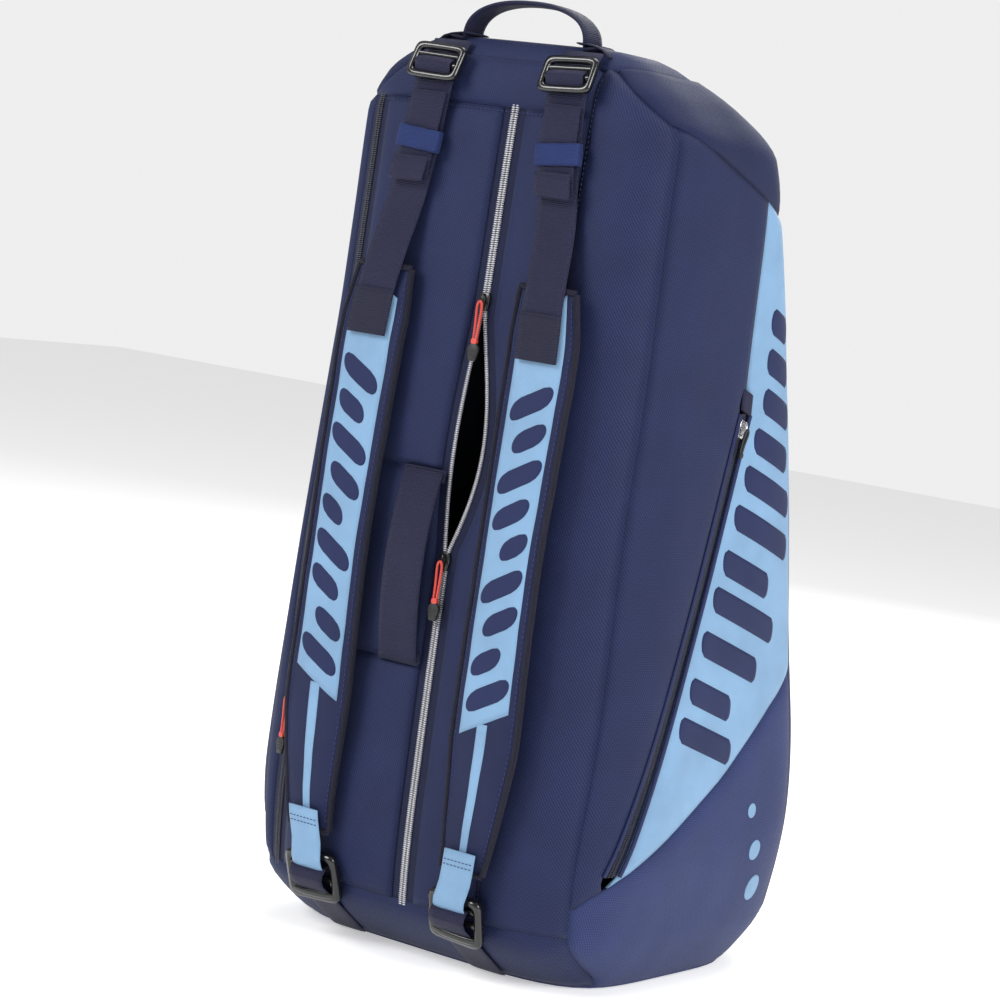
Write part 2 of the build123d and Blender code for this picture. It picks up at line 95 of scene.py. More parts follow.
def between(z, levels, values):
    """Smooth value at height z through the given levels (monotone Hermite)."""
    slopes = [(values[i + 1] - values[i]) / (levels[i + 1] - levels[i]) for i in range(len(levels) - 1)]
    tangents = [slopes[0]]
    for before, after in zip(slopes, slopes[1:]):
        tangents.append(2 * before * after / (before + after) if before * after > 0 else 0)
    tangents.append(slopes[-1])
    z = min(max(z, levels[0]), levels[-1])
    i = max(j for j in range(len(slopes)) if levels[j] <= z)
    span = levels[i + 1] - levels[i]
    t = (z - levels[i]) / span
    return ((1 + 2 * t) * (1 - t) ** 2 * values[i] + t * (1 - t) ** 2 * span * tangents[i]
            + t * t * (3 - 2 * t) * values[i + 1] + t * t * (t - 1) * span * tangents[i + 1])


def half_width(z):
    return between(z, LEVELS, HALF_WIDTH)


def middle_reach(z):
    """Middle and half of the section's depth at height z."""
    back, front = between(z, LEVELS, BACK_DEPTH), between(z, LEVELS, FRONT_DEPTH)
    return (front - back) / 2, (front + back) / 2


def corner_x(z):
    """Where the back meets the side, and above the side's peak the hood's slanted front seam."""
    slanted = HOOD_CORNER[0] - (z - HOOD_CORNER[1]) * HOOD_SLANT
    return min(between(z, [level for level, _ in CORNER_X], [x for _, x in CORNER_X]),
               half_width(z) * WIDEST_CORNER, slanted)


def rest_of(share):
    return (1 - min(abs(share), 1) ** ROUND) ** (1 / ROUND)


def back_y(z, x):
    middle, reach = middle_reach(z)
    return middle - reach * rest_of(x / half_width(z))


def front_y(z, x):
    middle, reach = middle_reach(z)
    return middle + reach * rest_of(x / half_width(z))


def side_x(z, y):
    middle, reach = middle_reach(z)
    return half_width(z) * rest_of((y - middle) / reach)


def around(z, turn):
    """Point of the section; turn is 0 at the back, 90 at +X and 180 at the front."""
    across, along = math.sin(math.radians(turn)), -math.cos(math.radians(turn))
    middle, reach = middle_reach(z)
    return (half_width(z) * math.copysign(abs(across) ** (2 / ROUND), across),
            middle + reach * math.copysign(abs(along) ** (2 / ROUND), along))


def even_turns(z, first, count):
    """Turns from first round to its mirror image, evenly spaced along the section at height z."""
    shares = np.linspace(0, 1, 240) ** (ROUND / 2)
    quarter = np.degrees(np.concatenate([np.arcsin(shares), np.arccos(shares)]))
    turns = np.unique(np.concatenate([quarter, 180 - quarter, 180 + quarter, 360 - quarter]))
    turns = np.concatenate([[first], turns[(turns > first) & (turns < 360 - first)], [360 - first]])
    points = np.array([around(z, turn) for turn in turns])
    length = np.concatenate([[0], np.cumsum(np.linalg.norm(np.diff(points, axis=0), axis=1))])
    return np.interp(np.linspace(0, length[-1], count), length, turns)


def turn_at_x(z, x):
    return math.degrees(math.asin(min(abs(x) / half_width(z), 1) ** (ROUND / 2)))


def roof_edge(y):
    """Height of the side's slanted top edge at depth y."""
    slope = (SIDE_TOP[1] - SIDE_PEAK_Z) / (SIDE_TOP[0] - SIDE_PEAK_Y)
    return max(HOOD_Z, SIDE_PEAK_Z + slope * (y - SIDE_PEAK_Y))


def seam_z(y):
    """Height of the curved seam over the side's lower panel."""
    return float(np.interp(y, [p[0] for p in PANEL_SEAM], [p[1] for p in PANEL_SEAM]))


def zip_halves(line, z):
    """x of the left and right coil's meeting edge at height z."""
    if not line["low"] < z < line["high"]:
        return line["x"], line["x"]
    share = (z - line["low"]) / (line["high"] - line["low"])
    opened = line["spread"] * math.sin(math.pi * share ** 0.85) ** 1.2
    right = opened * line["lean"]
    return line["x"] - (opened - right), line["x"] + right


def strap_x(z):
    return between(z, [level for level, _ in STRAP_PATH][::-1], [x for _, x in STRAP_PATH][::-1])


def pad_share(z):
    return (z - PAD_BOTTOM) / (PAD_TOP - PAD_BOTTOM)


def pad_gap(z):
    return 7 + 4 * math.sin(math.pi * min(max(pad_share(z), 0), 1))


def place(x, y, z):
    """Bag millimetres to metres in the frame."""
    return Vector((x, y - CENTER_Y, z)) * 0.001


# ---- mesh helpers ----------------------------------------------------------------------------
def add_object(name, mesh):
    obj = bpy.data.objects.new(name, mesh)
    bpy.context.scene.collection.objects.link(obj)
    return obj


def new_piece(name, verts, faces, material, uvs=None, smooth=True):
    mesh = bpy.data.meshes.new(name)
    mesh.from_pydata([tuple(v) for v in verts], [], faces)
    mesh.materials.append(material)
    if uvs is not None:
        layer = mesh.uv_layers.new(name="UVMap")
        for loop in mesh.loops:
            layer.data[loop.index].uv = uvs[loop.vertex_index]
    mesh.polygons.foreach_set("use_smooth", [smooth] * len(mesh.polygons))
    mesh.update()
    return add_object(name, mesh)


def closed_grid(name, outer, inner, material, uvs, loop_u=False):
    """Closed solid between two point grids of the same size, shaped (rows, columns, 3)."""
    rows, cols = outer.shape[:2]
    count = rows * cols
    verts = np.concatenate([outer.reshape(-1, 3), inner.reshape(-1, 3)])
    faces = []
    wrap = cols if loop_u else cols - 1
    for r in range(rows - 1):
        for c in range(wrap):
            a, b = r * cols + c, r * cols + (c + 1) % cols
            d, e = a + cols, b + cols
            faces.append((a, b, e, d))
            faces.append((count + a, count + d, count + e, count + b))
    for c in range(wrap):
        a, b = c, (c + 1) % cols
        faces.append((a, count + a, count + b, b))
        a, b = (rows - 1) * cols + c, (rows - 1) * cols + (c + 1) % cols
        faces.append((a, b, count + b, count + a))
    if not loop_u:
        for r in range(rows - 1):
            a, b = r * cols, (r + 1) * cols
            faces.append((a, b, count + b, count + a))
            a, b = a + cols - 1, b + cols - 1
            faces.append((a, count + a, count + b, b))
    flat = uvs.reshape(-1, 2)
    piece = new_piece(name, verts, faces, material, np.concatenate([flat, flat]))
    mend_normals(piece)
    return piece


def mend_normals(piece):
    mesh = bmesh.new()
    mesh.from_mesh(piece.data)
    bmesh.ops.recalc_face_normals(mesh, faces=mesh.faces)
    mesh.to_mesh(piece.data)
    mesh.free()


def grid_normals(points):
    """Unit normals of a grid, turned away from the bag's upright middle line."""
    normals = np.cross(np.gradient(points, axis=1), np.gradient(points, axis=0))
    normals /= np.maximum(np.linalg.norm(normals, axis=2, keepdims=True), 1e-9)
    away = points * [1, 1, 0] - [0, MIDDLE_LINE_Y, 0]
    sign = np.sign(np.sum(normals * away, axis=2).mean())
    return normals * (sign if sign else 1)


def to_frame(points):
    moved = points.copy()
    moved[..., 1] -= CENTER_Y
    return moved * 0.001


SKINS = {}


def creases(point, depth):
    """Soft wrinkles of full cloth, in millimetres."""
    broad = noise.noise(Vector((point[0] * 0.011, point[1] * 0.011, point[2] * 0.006)))
    fine = noise.noise(Vector((point[0] * 0.03 + 7, point[1] * 0.03, point[2] * 0.017)))
    return depth * (broad * 1.5 + fine * 0.45)


def cloth_panel(name, surface, left, right, low, high, material, node, puff=2.2, wrinkle=1.0,
                step=6.5, thick=2.4, sink=1.6, open_edges=""):
    """A padded panel between edges left(z), right(z), low(a) and high(a) on a surface(a, z)."""
    z_low, z_high = low(left(60)), high(right(400))
    middle_z = (z_low + z_high) / 2
    cols = max(5, round(abs(right(middle_z) - left(middle_z)) / step))
    rows = max(5, round((z_high - z_low) / step))
    points = np.zeros((rows + 1, cols + 1, 3))
    uvs = np.zeros((rows + 1, cols + 1, 2))
    for c in range(cols + 1):
        u = c / cols

        def at(z):
            return left(z) + (right(z) - left(z)) * u
        ends = []
        for edge, start in ((low, z_low), (high, z_high)):
            z = start
            for _ in range(14):
                z = (z + edge(at(z))) / 2
            ends.append(z)
        for r in range(rows + 1):
            z = ends[0] + (ends[1] - ends[0]) * r / rows
            points[r, c] = surface(at(z), z)
            uvs[r, c] = (at(z) * 0.001, z * 0.001)
    normals = grid_normals(points)
    widths = np.linalg.norm(points[:, -1] - points[:, 0], axis=1)
    heights = np.linalg.norm(points[-1] - points[0], axis=1)
    for r in range(rows + 1):
        for c in range(cols + 1):
            gaps = [c / cols * widths[r] if "l" not in open_edges else 99,
                    (1 - c / cols) * widths[r] if "r" not in open_edges else 99,
                    r / rows * heights[c] if "b" not in open_edges else 99,
                    (1 - r / rows) * heights[c] if "t" not in open_edges else 99]
            edge = min(gaps)
            rise = -sink + (sink + puff) * (1 - math.exp(-edge / 7.0))
            rise += creases(points[r, c], wrinkle) * (1 - math.exp(-edge / 16.0))
            points[r, c] += normals[r, c] * rise
    points[..., 2] = np.maximum(points[..., 2], GROUND_GAP)
    inner = points - normals * thick
    inner[..., 2] = np.maximum(inner[..., 2], GROUND_GAP)
    piece = closed_grid(name, to_frame(points), to_frame(inner), material, uvs)
    SKINS[name] = piece
    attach(piece, "bag")
    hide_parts(*([node] if isinstance(node, str) else node))
    return piece


def print_on(name, target, toward, cells, material):
    """Thin print laid on a skin: each cell is a grid of points that drop on it along toward."""
    tree = BVHTree.FromPolygons([v.co for v in target.data.vertices],
                                [p.vertices for p in target.data.polygons])
    toward = Vector(toward).normalized()
    verts, faces, uvs = [], [], []
    for cell in cells:
        rows, cols = len(cell), len(cell[0])
        start = len(verts)
        for rise in (PRINT_LIFT, -PRINT_SINK):
            for row in cell:
                for point in row:
                    origin = point - toward * 0.2
                    hit = tree.ray_cast(origin, toward)[0]
                    if hit is None:
                        hit = tree.find_nearest(point)[0]
                    verts.append(hit - toward * rise * 0.001)
                    uvs.append((point.y + point.x, point.z))
        count = rows * cols
        for r in range(rows - 1):
            for c in range(cols - 1):
                a = start + r * cols + c
                faces.append((a, a + 1, a + cols + 1, a + cols))
                b = a + count
                faces.append((b, b + cols, b + cols + 1, b + 1))
        rim = ([start + c for c in range(cols)] + [start + r * cols + cols - 1 for r in range(1, rows)]
               + [start + (rows - 1) * cols + c for c in range(cols - 2, -1, -1)]
               + [start + r * cols for r in range(rows - 2, 0, -1)])
        for a, b in zip(rim, rim[1:] + rim[:1]):
            faces.append((a, a + count, b + count, b))
    piece = new_piece(name, verts, faces, material, uvs)
    mend_normals(piece)
    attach(piece, "bag")


def disc(middle, radius, cells=10):
    """Grid of points that fills a round mark on the bag's side."""
    shares = [2 * i / cells - 1 for i in range(cells + 1)]
    return [[middle + Vector((0, u * math.sqrt(1 - v * v / 2), v * math.sqrt(1 - u * u / 2))) * radius * 0.001
             for u in shares] for v in shares]


def band(name, path, sides, width, thick, material, cols=8, widths=None):
    """Flat webbing along path (points in metres); sides are unit vectors across it."""
    rows = len(path)
    outer = np.zeros((rows, cols + 1, 3))
    inner = np.zeros((rows, cols + 1, 3))
    uvs = np.zeros((rows, cols + 1, 2))
    length = 0.0
    for r, point in enumerate(path):
        ahead = path[min(r + 1, rows - 1)] - path[max(r - 1, 0)]
        across = sides[r].normalized()
        normal = across.cross(ahead).normalized()
        if r:
            length += (point - path[r - 1]).length
        size = widths[r] if widths else width
        for c in range(cols + 1):
            s = c / cols * 2 - 1
            edge = 1 - abs(s) ** 6
            rise = thick * (0.35 + 0.65 * edge) / 2
            base = point + across * (s * size / 2) * 0.001
            outer[r, c] = base + normal * rise * 0.001
            inner[r, c] = base - normal * rise * 0.001
            uvs[r, c] = (s * size / 2 * 0.001, length)
    return closed_grid(name, outer, inner, material, uvs)


def tube(name, points, radius, material, sides=10, order=4):
    """Smooth round bar along points in metres, as a plain mesh."""
    curve = bpy.data.curves.new(name, "CURVE")
    curve.dimensions = "3D"
    curve.bevel_depth = radius * 0.001
    curve.bevel_resolution = sides // 4
    curve.use_fill_caps = True
    spline = curve.splines.new("NURBS")
    spline.points.add(len(points) - 1)
    for target, point in zip(spline.points, points):
        target.co = (*point, 1)
    spline.order_u = min(order, len(points))
    spline.use_endpoint_u = True
    spline.resolution_u = 6
    holder = add_object(name + "_line", curve)
    graph = bpy.context.evaluated_depsgraph_get()
    mesh = bpy.data.meshes.new_from_object(holder.evaluated_get(graph))
    bpy.data.objects.remove(holder)
    mesh.name = name
    mesh.materials.clear()
    mesh.materials.append(material)
    mesh.polygons.foreach_set("use_smooth", [True] * len(mesh.polygons))
    return add_object(name, mesh)


def joined(name, pieces):
    """One plain mesh of several, keeping their materials."""
    mesh = bpy.data.meshes.new(name)
    slots = []
    whole = bmesh.new()
    for piece in pieces:
        start = len(whole.faces)
        whole.from_mesh(piece.data)
        whole.faces.ensure_lookup_table()
        material = piece.data.materials[0]
        if material not in slots:
            slots.append(material)
        for face in whole.faces[start:]:
            face.material_index = slots.index(material)
    whole.to_mesh(mesh)
    whole.free()
    for material in slots:
        mesh.materials.append(material)
    for piece in pieces:
        bpy.data.objects.remove(piece)
    return add_object(name, mesh)


def plate(name, outline, low, high, material, bevel=0.5, frame_matrix=None):
    """Prism of an outline (x, y) between two heights, with rounded edges, through a matrix; in mm."""
    mesh = bmesh.new()
    verts = [mesh.verts.new((x, y, low)) for x, y in outline]
    face = mesh.faces.new(verts)
    moved = bmesh.ops.extrude_face_region(mesh, geom=[face])
    top = [v for v in moved["geom"] if isinstance(v, bmesh.types.BMVert)]
    bmesh.ops.translate(mesh, verts=top, vec=(0, 0, high - low))
    bmesh.ops.recalc_face_normals(mesh, faces=mesh.faces)
    if bevel:
        bmesh.ops.bevel(mesh, geom=mesh.edges[:], offset=bevel, segments=3, affect="EDGES",
                        profile=0.5, clamp_overlap=True)
    data = bpy.data.meshes.new(name)
    mesh.to_mesh(data)
    mesh.free()
    data.materials.append(material)
    if frame_matrix is not None:
        data.transform(frame_matrix)
    data.polygons.foreach_set("use_smooth", [True] * len(data.polygons))
    return add_object(name, data)


def ellipse_outline(width, height, power=2.5, count=32, middle=(0, 0)):
    points = []
    for i in range(count):
        turn = 2 * math.pi * i / count
        c, s = math.cos(turn), math.sin(turn)
        points.append((middle[0] + width / 2 * math.copysign(abs(c) ** (2 / power), c),
                       middle[1] + height / 2 * math.copysign(abs(s) ** (2 / power), s)))
    return points


def frame_of(origin, across, out):
    """Matrix from a fitting's own millimetres (x across, y up, z out) to the frame's metres."""
    across, out = across.normalized(), out.normalized()
    up = out.cross(across)
    turn = Matrix((across, up, out)).transposed().to_4x4()
    return Matrix.Translation(origin) @ turn @ Matrix.Scale(0.001, 4)


# ---- Geometry Nodes: a row of beads, for zip teeth and stitches --------------------------------
def bead_row_tree():
    tree = bpy.data.node_groups.new("bead_row", "GeometryNodeTree")
    face = tree.interface
    face.new_socket("Geometry", in_out="INPUT", socket_type="NodeSocketGeometry")
    face.new_socket("Pitch", in_out="INPUT", socket_type="NodeSocketFloat").default_value = 0.002
    face.new_socket("Size", in_out="INPUT", socket_type="NodeSocketVector")
    face.new_socket("Outward", in_out="INPUT", socket_type="NodeSocketVector")
    face.new_socket("Material", in_out="INPUT", socket_type="NodeSocketMaterial")
    face.new_socket("Geometry", in_out="OUTPUT", socket_type="NodeSocketGeometry")
    nodes, links = tree.nodes, tree.links
    given, result = nodes.new("NodeGroupInput"), nodes.new("NodeGroupOutput")
    line = nodes.new("GeometryNodeMeshToCurve")
    spaced = nodes.new("GeometryNodeResampleCurve")
    spaced.mode = "LENGTH"
    tangent = nodes.new("GeometryNodeInputTangent")
    along = nodes.new("FunctionNodeAlignRotationToVector")
    along.axis = "Y"
    outward = nodes.new("FunctionNodeAlignRotationToVector")
    outward.axis = "Z"
    outward.pivot_axis = "Y"
    bead = nodes.new("GeometryNodeMeshUVSphere")
    bead.inputs["Segments"].default_value = 8
    bead.inputs["Rings"].default_value = 5
    bead.inputs["Radius"].default_value = 0.5
    instances = nodes.new("GeometryNodeInstanceOnPoints")
    real = nodes.new("GeometryNodeRealizeInstances")
    paint = nodes.new("GeometryNodeSetMaterial")
    links.new(given.outputs["Geometry"], line.inputs["Mesh"])
    links.new(line.outputs["Curve"], spaced.inputs["Curve"])
    links.new(given.outputs["Pitch"], spaced.inputs["Length"])
    links.new(spaced.outputs["Curve"], instances.inputs["Points"])
    links.new(bead.outputs["Mesh"], instances.inputs["Instance"])
    links.new(tangent.outputs["Tangent"], along.inputs["Vector"])
    links.new(along.outputs["Rotation"], outward.inputs["Rotation"])
    links.new(given.outputs["Outward"], outward.inputs["Vector"])
    links.new(outward.outputs["Rotation"], instances.inputs["Rotation"])
    links.new(given.outputs["Size"], instances.inputs["Scale"])
    links.new(instances.outputs["Instances"], real.inputs["Geometry"])
    links.new(real.outputs["Geometry"], paint.inputs["Geometry"])
    links.new(given.outputs["Material"], paint.inputs["Material"])
    links.new(paint.outputs["Geometry"], result.inputs["Geometry"])
    return tree


def bead_rows(name, lines, pitch, size, outward, material):
    """Beads along polylines in metres; size is (across, along, out) in millimetres."""
    tree = bpy.data.node_groups.get("bead_row") or bead_row_tree()
    verts, edges = [], []
    for points in lines:
        start = len(verts)
        verts += [tuple(p) for p in points]
        edges += [(start + i, start + i + 1) for i in range(len(points) - 1)]
    mesh = bpy.data.meshes.new(name)
    mesh.from_pydata(verts, edges, [])
    piece = add_object(name, mesh)
    modifier = piece.modifiers.new("beads", "NODES")
    modifier.node_group = tree
    values = {"Pitch": pitch * 0.001, "Size": [s * 0.001 for s in size], "Outward": list(outward),
              "Material": material}
    for item in tree.interface.items_tree:
        if item.in_out == "INPUT" and item.name in values:
            modifier[item.identifier] = values[item.name]
    graph = bpy.context.evaluated_depsgraph_get()
    plain = bpy.data.meshes.new_from_object(piece.evaluated_get(graph))
    piece.modifiers.clear()
    piece.data = plain
    plain.polygons.foreach_set("use_smooth", [True] * len(plain.polygons))
    return piece


# ---- materials -------------------------------------------------------------------------------
def group(name, inputs, outputs):
    tree = bpy.data.node_groups.new(name, "ShaderNodeTree")
    for label, kind, value in inputs:
        socket = tree.interface.new_socket(label, in_out="INPUT", socket_type=kind)
        if value is not None:
            socket.default_value = value
    for label, kind in outputs:
        tree.interface.new_socket(label, in_out="OUTPUT", socket_type=kind)
    return tree, tree.nodes.new("NodeGroupInput"), tree.nodes.new("NodeGroupOutput")


def math_node(tree, operation, first, second=None):
    node = tree.nodes.new("ShaderNodeMath")
    node.operation = operation
    for socket, value in zip(node.inputs, (first, second)):
        if value is None:
            continue
        if isinstance(value, (int, float)):
            socket.default_value = value
        else:
            tree.links.new(value, socket)
    return node.outputs[0]


def woven_dots_group():
    """Diagonal rows of small woven dots over a fine weave, from a cloth's own UV map in metres."""
    tree, given, result = group(
        "woven_dots", [("Pitch X", "NodeSocketFloat", 2.6), ("Pitch Y", "NodeSocketFloat", 1.7),
                       ("Slant", "NodeSocketFloat", 0.6), ("Dot", "NodeSocketFloat", 0.22),
                       ("Unevenness", "NodeSocketFloat", 0.5)],
        [("Dots", "NodeSocketFloat"), ("Weave", "NodeSocketFloat"), ("Blotches", "NodeSocketFloat")])
    links = tree.links
    uv = tree.nodes.new("ShaderNodeUVMap")
    split = tree.nodes.new("ShaderNodeSeparateXYZ")
    links.new(uv.outputs["UV"], split.inputs["Vector"])
    x_mm = math_node(tree, "MULTIPLY", split.outputs["X"], 1000)
    y_mm = math_node(tree, "MULTIPLY", split.outputs["Y"], 1000)
    lean = math_node(tree, "MULTIPLY", y_mm, given.outputs["Slant"])
    across = math_node(tree, "DIVIDE", math_node(tree, "ADD", x_mm, lean), given.outputs["Pitch X"])
    upward = math_node(tree, "DIVIDE", y_mm, given.outputs["Pitch Y"])
    offsets = []
    for value in (across, upward):
        cell = math_node(tree, "SUBTRACT", math_node(tree, "FRACT", value), 0.5)
        offsets.append(math_node(tree, "MULTIPLY", cell, cell))
    radius = math_node(tree, "SQRT", math_node(tree, "ADD", offsets[0], offsets[1]))
    edge = math_node(tree, "DIVIDE", math_node(tree, "SUBTRACT", given.outputs["Dot"], radius), 0.08)
    dots = tree.nodes.new("ShaderNodeClamp")
    links.new(edge, dots.inputs["Value"])
    place_map = tree.nodes.new("ShaderNodeTexCoord")
    cloud = tree.nodes.new("ShaderNodeTexNoise")
    cloud.inputs["Scale"].default_value = 24
    cloud.inputs["Detail"].default_value = 4
    links.new(place_map.outputs["Object"], cloud.inputs["Vector"])
    faint = math_node(tree, "MULTIPLY", cloud.outputs["Fac"], given.outputs["Unevenness"])
    keep = math_node(tree, "ADD", faint, math_node(tree, "SUBTRACT", 1, given.outputs["Unevenness"]))
    links.new(math_node(tree, "MULTIPLY", dots.outputs["Result"], keep), result.inputs["Dots"])
    threads = []
    for value in (x_mm, y_mm):
        wave = math_node(tree, "SINE", math_node(tree, "MULTIPLY", value, 2 * math.pi / 0.9))
        threads.append(wave)
    weave = math_node(tree, "MULTIPLY", threads[0], threads[1])
    links.new(weave, result.inputs["Weave"])
    links.new(cloud.outputs["Fac"], result.inputs["Blotches"])
    return tree


def ribs_group():
    """Ribbed webbing: bars across its length and a fine grain, from its own UV map in metres."""
    tree, given, result = group("webbing_ribs", [("Rib", "NodeSocketFloat", 1.4)],
                                [("Ribs", "NodeSocketFloat"), ("Grain", "NodeSocketFloat")])
    uv = tree.nodes.new("ShaderNodeUVMap")
    split = tree.nodes.new("ShaderNodeSeparateXYZ")
    tree.links.new(uv.outputs["UV"], split.inputs["Vector"])
    along = math_node(tree, "MULTIPLY", split.outputs["Y"], 1000 * 2 * math.pi)
    across = math_node(tree, "MULTIPLY", split.outputs["X"], 1000 * 2 * math.pi / 1.1)
    ribs = math_node(tree, "SINE", math_node(tree, "DIVIDE", along, given.outputs["Rib"]))
    threads = math_node(tree, "SINE", across)
    tree.links.new(math_node(tree, "ADD", ribs, math_node(tree, "MULTIPLY", threads, 0.6)),
                   result.inputs["Ribs"])
    place_map = tree.nodes.new("ShaderNodeTexCoord")
    grain = tree.nodes.new("ShaderNodeTexNoise")
    grain.inputs["Scale"].default_value = 60
    grain.inputs["Detail"].default_value = 5
    tree.links.new(place_map.outputs["Object"], grain.inputs["Vector"])
    tree.links.new(grain.outputs["Fac"], result.inputs["Grain"])
    return tree


def material(name, color, roughness=0.6, metallic=0.0, sheen=0.0, coat=0.0, gloss=0.5):
    mat = bpy.data.materials.new(name)
    mat.use_nodes = True
    shader = mat.node_tree.nodes["Principled BSDF"]
    shader.inputs["Base Color"].default_value = (*color, 1)
    shader.inputs["Roughness"].default_value = roughness
    shader.inputs["Metallic"].default_value = metallic
    shader.inputs["Sheen Weight"].default_value = sheen
    shader.inputs["Sheen Roughness"].default_value = 0.4
    shader.inputs["Coat Weight"].default_value = coat
    shader.inputs["Specular IOR Level"].default_value = gloss
    return mat, mat.node_tree, shader


def mix(tree, factor, first, second):
    node = tree.nodes.new("ShaderNodeMix")
    node.data_type = "RGBA"
    for socket, value in ((node.inputs["Factor"], factor), (node.inputs["A"], first),
                          (node.inputs["B"], second)):
        if isinstance(value, (tuple, float, int)):
            socket.default_value = (*value, 1) if isinstance(value, tuple) else value
        else:
            tree.links.new(value, socket)
    return node.outputs["Result"]


def bump(tree, shader, height, distance, strength):
    node = tree.nodes.new("ShaderNodeBump")
    node.inputs["Distance"].default_value = distance
    node.inputs["Strength"].default_value = strength
    tree.links.new(height, node.inputs["Height"])
    tree.links.new(node.outputs["Normal"], shader.inputs["Normal"])


def dotted_cloth(name, color, dot_color, pitch=(2.1, 1.35), dot=0.24, slant=0.6, roughness=0.62,
                 sheen=0.04, dot_strength=0.55, weave_depth=0.00012, gloss=0.22):
    """Woven cloth of one colour with small light dots in diagonal rows."""
    mat, tree, shader = material(name, color, roughness, sheen=sheen, gloss=gloss)
    weave = tree.nodes.new("ShaderNodeGroup")
    weave.node_tree = bpy.data.node_groups.get("woven_dots") or woven_dots_group()
    for label, value in (("Pitch X", pitch[0]), ("Pitch Y", pitch[1]), ("Slant", slant), ("Dot", dot)):
        weave.inputs[label].default_value = value
    darker = tuple(c * 0.78 for c in color)
    lighter = tuple(min(c * 1.25, 1) for c in color)
    ground = mix(tree, weave.outputs["Blotches"], darker, lighter)
    dots = math_node(tree, "MULTIPLY", weave.outputs["Dots"], dot_strength)
    tree.links.new(mix(tree, dots, ground, dot_color), shader.inputs["Base Color"])
    rough = math_node(tree, "ADD", math_node(tree, "MULTIPLY", weave.outputs["Weave"], 0.06), roughness)
    tree.links.new(rough, shader.inputs["Roughness"])
    height = math_node(tree, "ADD", math_node(tree, "MULTIPLY", weave.outputs["Weave"], 0.5),
                       weave.outputs["Dots"])
    bump(tree, shader, height, weave_depth, 0.9)
    return mat


def ribbed_webbing(name, color, rib=1.4, roughness=0.55):
    mat, tree, shader = material(name, color, roughness, sheen=0.04, gloss=0.25)
    ribs = tree.nodes.new("ShaderNodeGroup")
    ribs.node_tree = bpy.data.node_groups.get("webbing_ribs") or ribs_group()
    ribs.inputs["Rib"].default_value = rib
    # Painted shade: rib crests are painted lighter and rib hollows darker from the rib height, averaged with
    # a random grain of real tone.
    shade = math_node(tree, "MULTIPLY", math_node(tree, "ADD", ribs.outputs["Ribs"], 1.6), 0.3)
    dark, light = tuple(c * 0.6 for c in color), tuple(min(c * 1.35, 1) for c in color)
    rib_shade_and_grain = math_node(tree, "MULTIPLY", math_node(tree, "ADD", shade, ribs.outputs["Grain"]), 0.5)
    tree.links.new(mix(tree, rib_shade_and_grain, dark, light), shader.inputs["Base Color"])
    bump(tree, shader, ribs.outputs["Ribs"], 0.0002, 0.8)
    return mat


def moulded(name, color, roughness=0.35, metallic=0.0, coat=0.0):
    """Moulded plastic, rubber or plated metal with a fine grain and slight handling marks."""
    grain, depth, wear = 900, 0.00002, 0.25
    mat, tree, shader = material(name, color, roughness, metallic, coat=coat)
    place_map = tree.nodes.new("ShaderNodeTexCoord")
    fine = tree.nodes.new("ShaderNodeTexNoise")
    fine.inputs["Scale"].default_value = grain
    broad = tree.nodes.new("ShaderNodeTexNoise")
    broad.inputs["Scale"].default_value = 90
    broad.inputs["Detail"].default_value = 6
    for texture in (fine, broad):
        tree.links.new(place_map.outputs["Object"], texture.inputs["Vector"])
    marks = tuple(min(c * (1 + wear) + 0.01 * wear, 1) for c in color)
    tree.links.new(mix(tree, broad.outputs["Fac"], tuple(c * (1 - wear * 0.5) for c in color), marks),
                   shader.inputs["Base Color"])
    rough = math_node(tree, "ADD", math_node(tree, "MULTIPLY", broad.outputs["Fac"], 0.2), roughness - 0.1)
    tree.links.new(rough, shader.inputs["Roughness"])
    bump(tree, shader, fine.outputs["Fac"], depth, 0.6)
    return mat


def crinkled_foil(name):
    mat, tree, shader = material(name, (0.62, 0.64, 0.67), 0.32, 0.75)
    place_map = tree.nodes.new("ShaderNodeTexCoord")
    cells = tree.nodes.new("ShaderNodeTexVoronoi")
    cells.inputs["Scale"].default_value = 160
    tree.links.new(place_map.outputs["Object"], cells.inputs["Vector"])
    tree.links.new(mix(tree, cells.outputs["Distance"], (0.5, 0.52, 0.55), (0.75, 0.77, 0.8)),
                   shader.inputs["Base Color"])
    bump(tree, shader, cells.outputs["Distance"], 0.0006, 0.7)
    return mat


FINISHES = {}


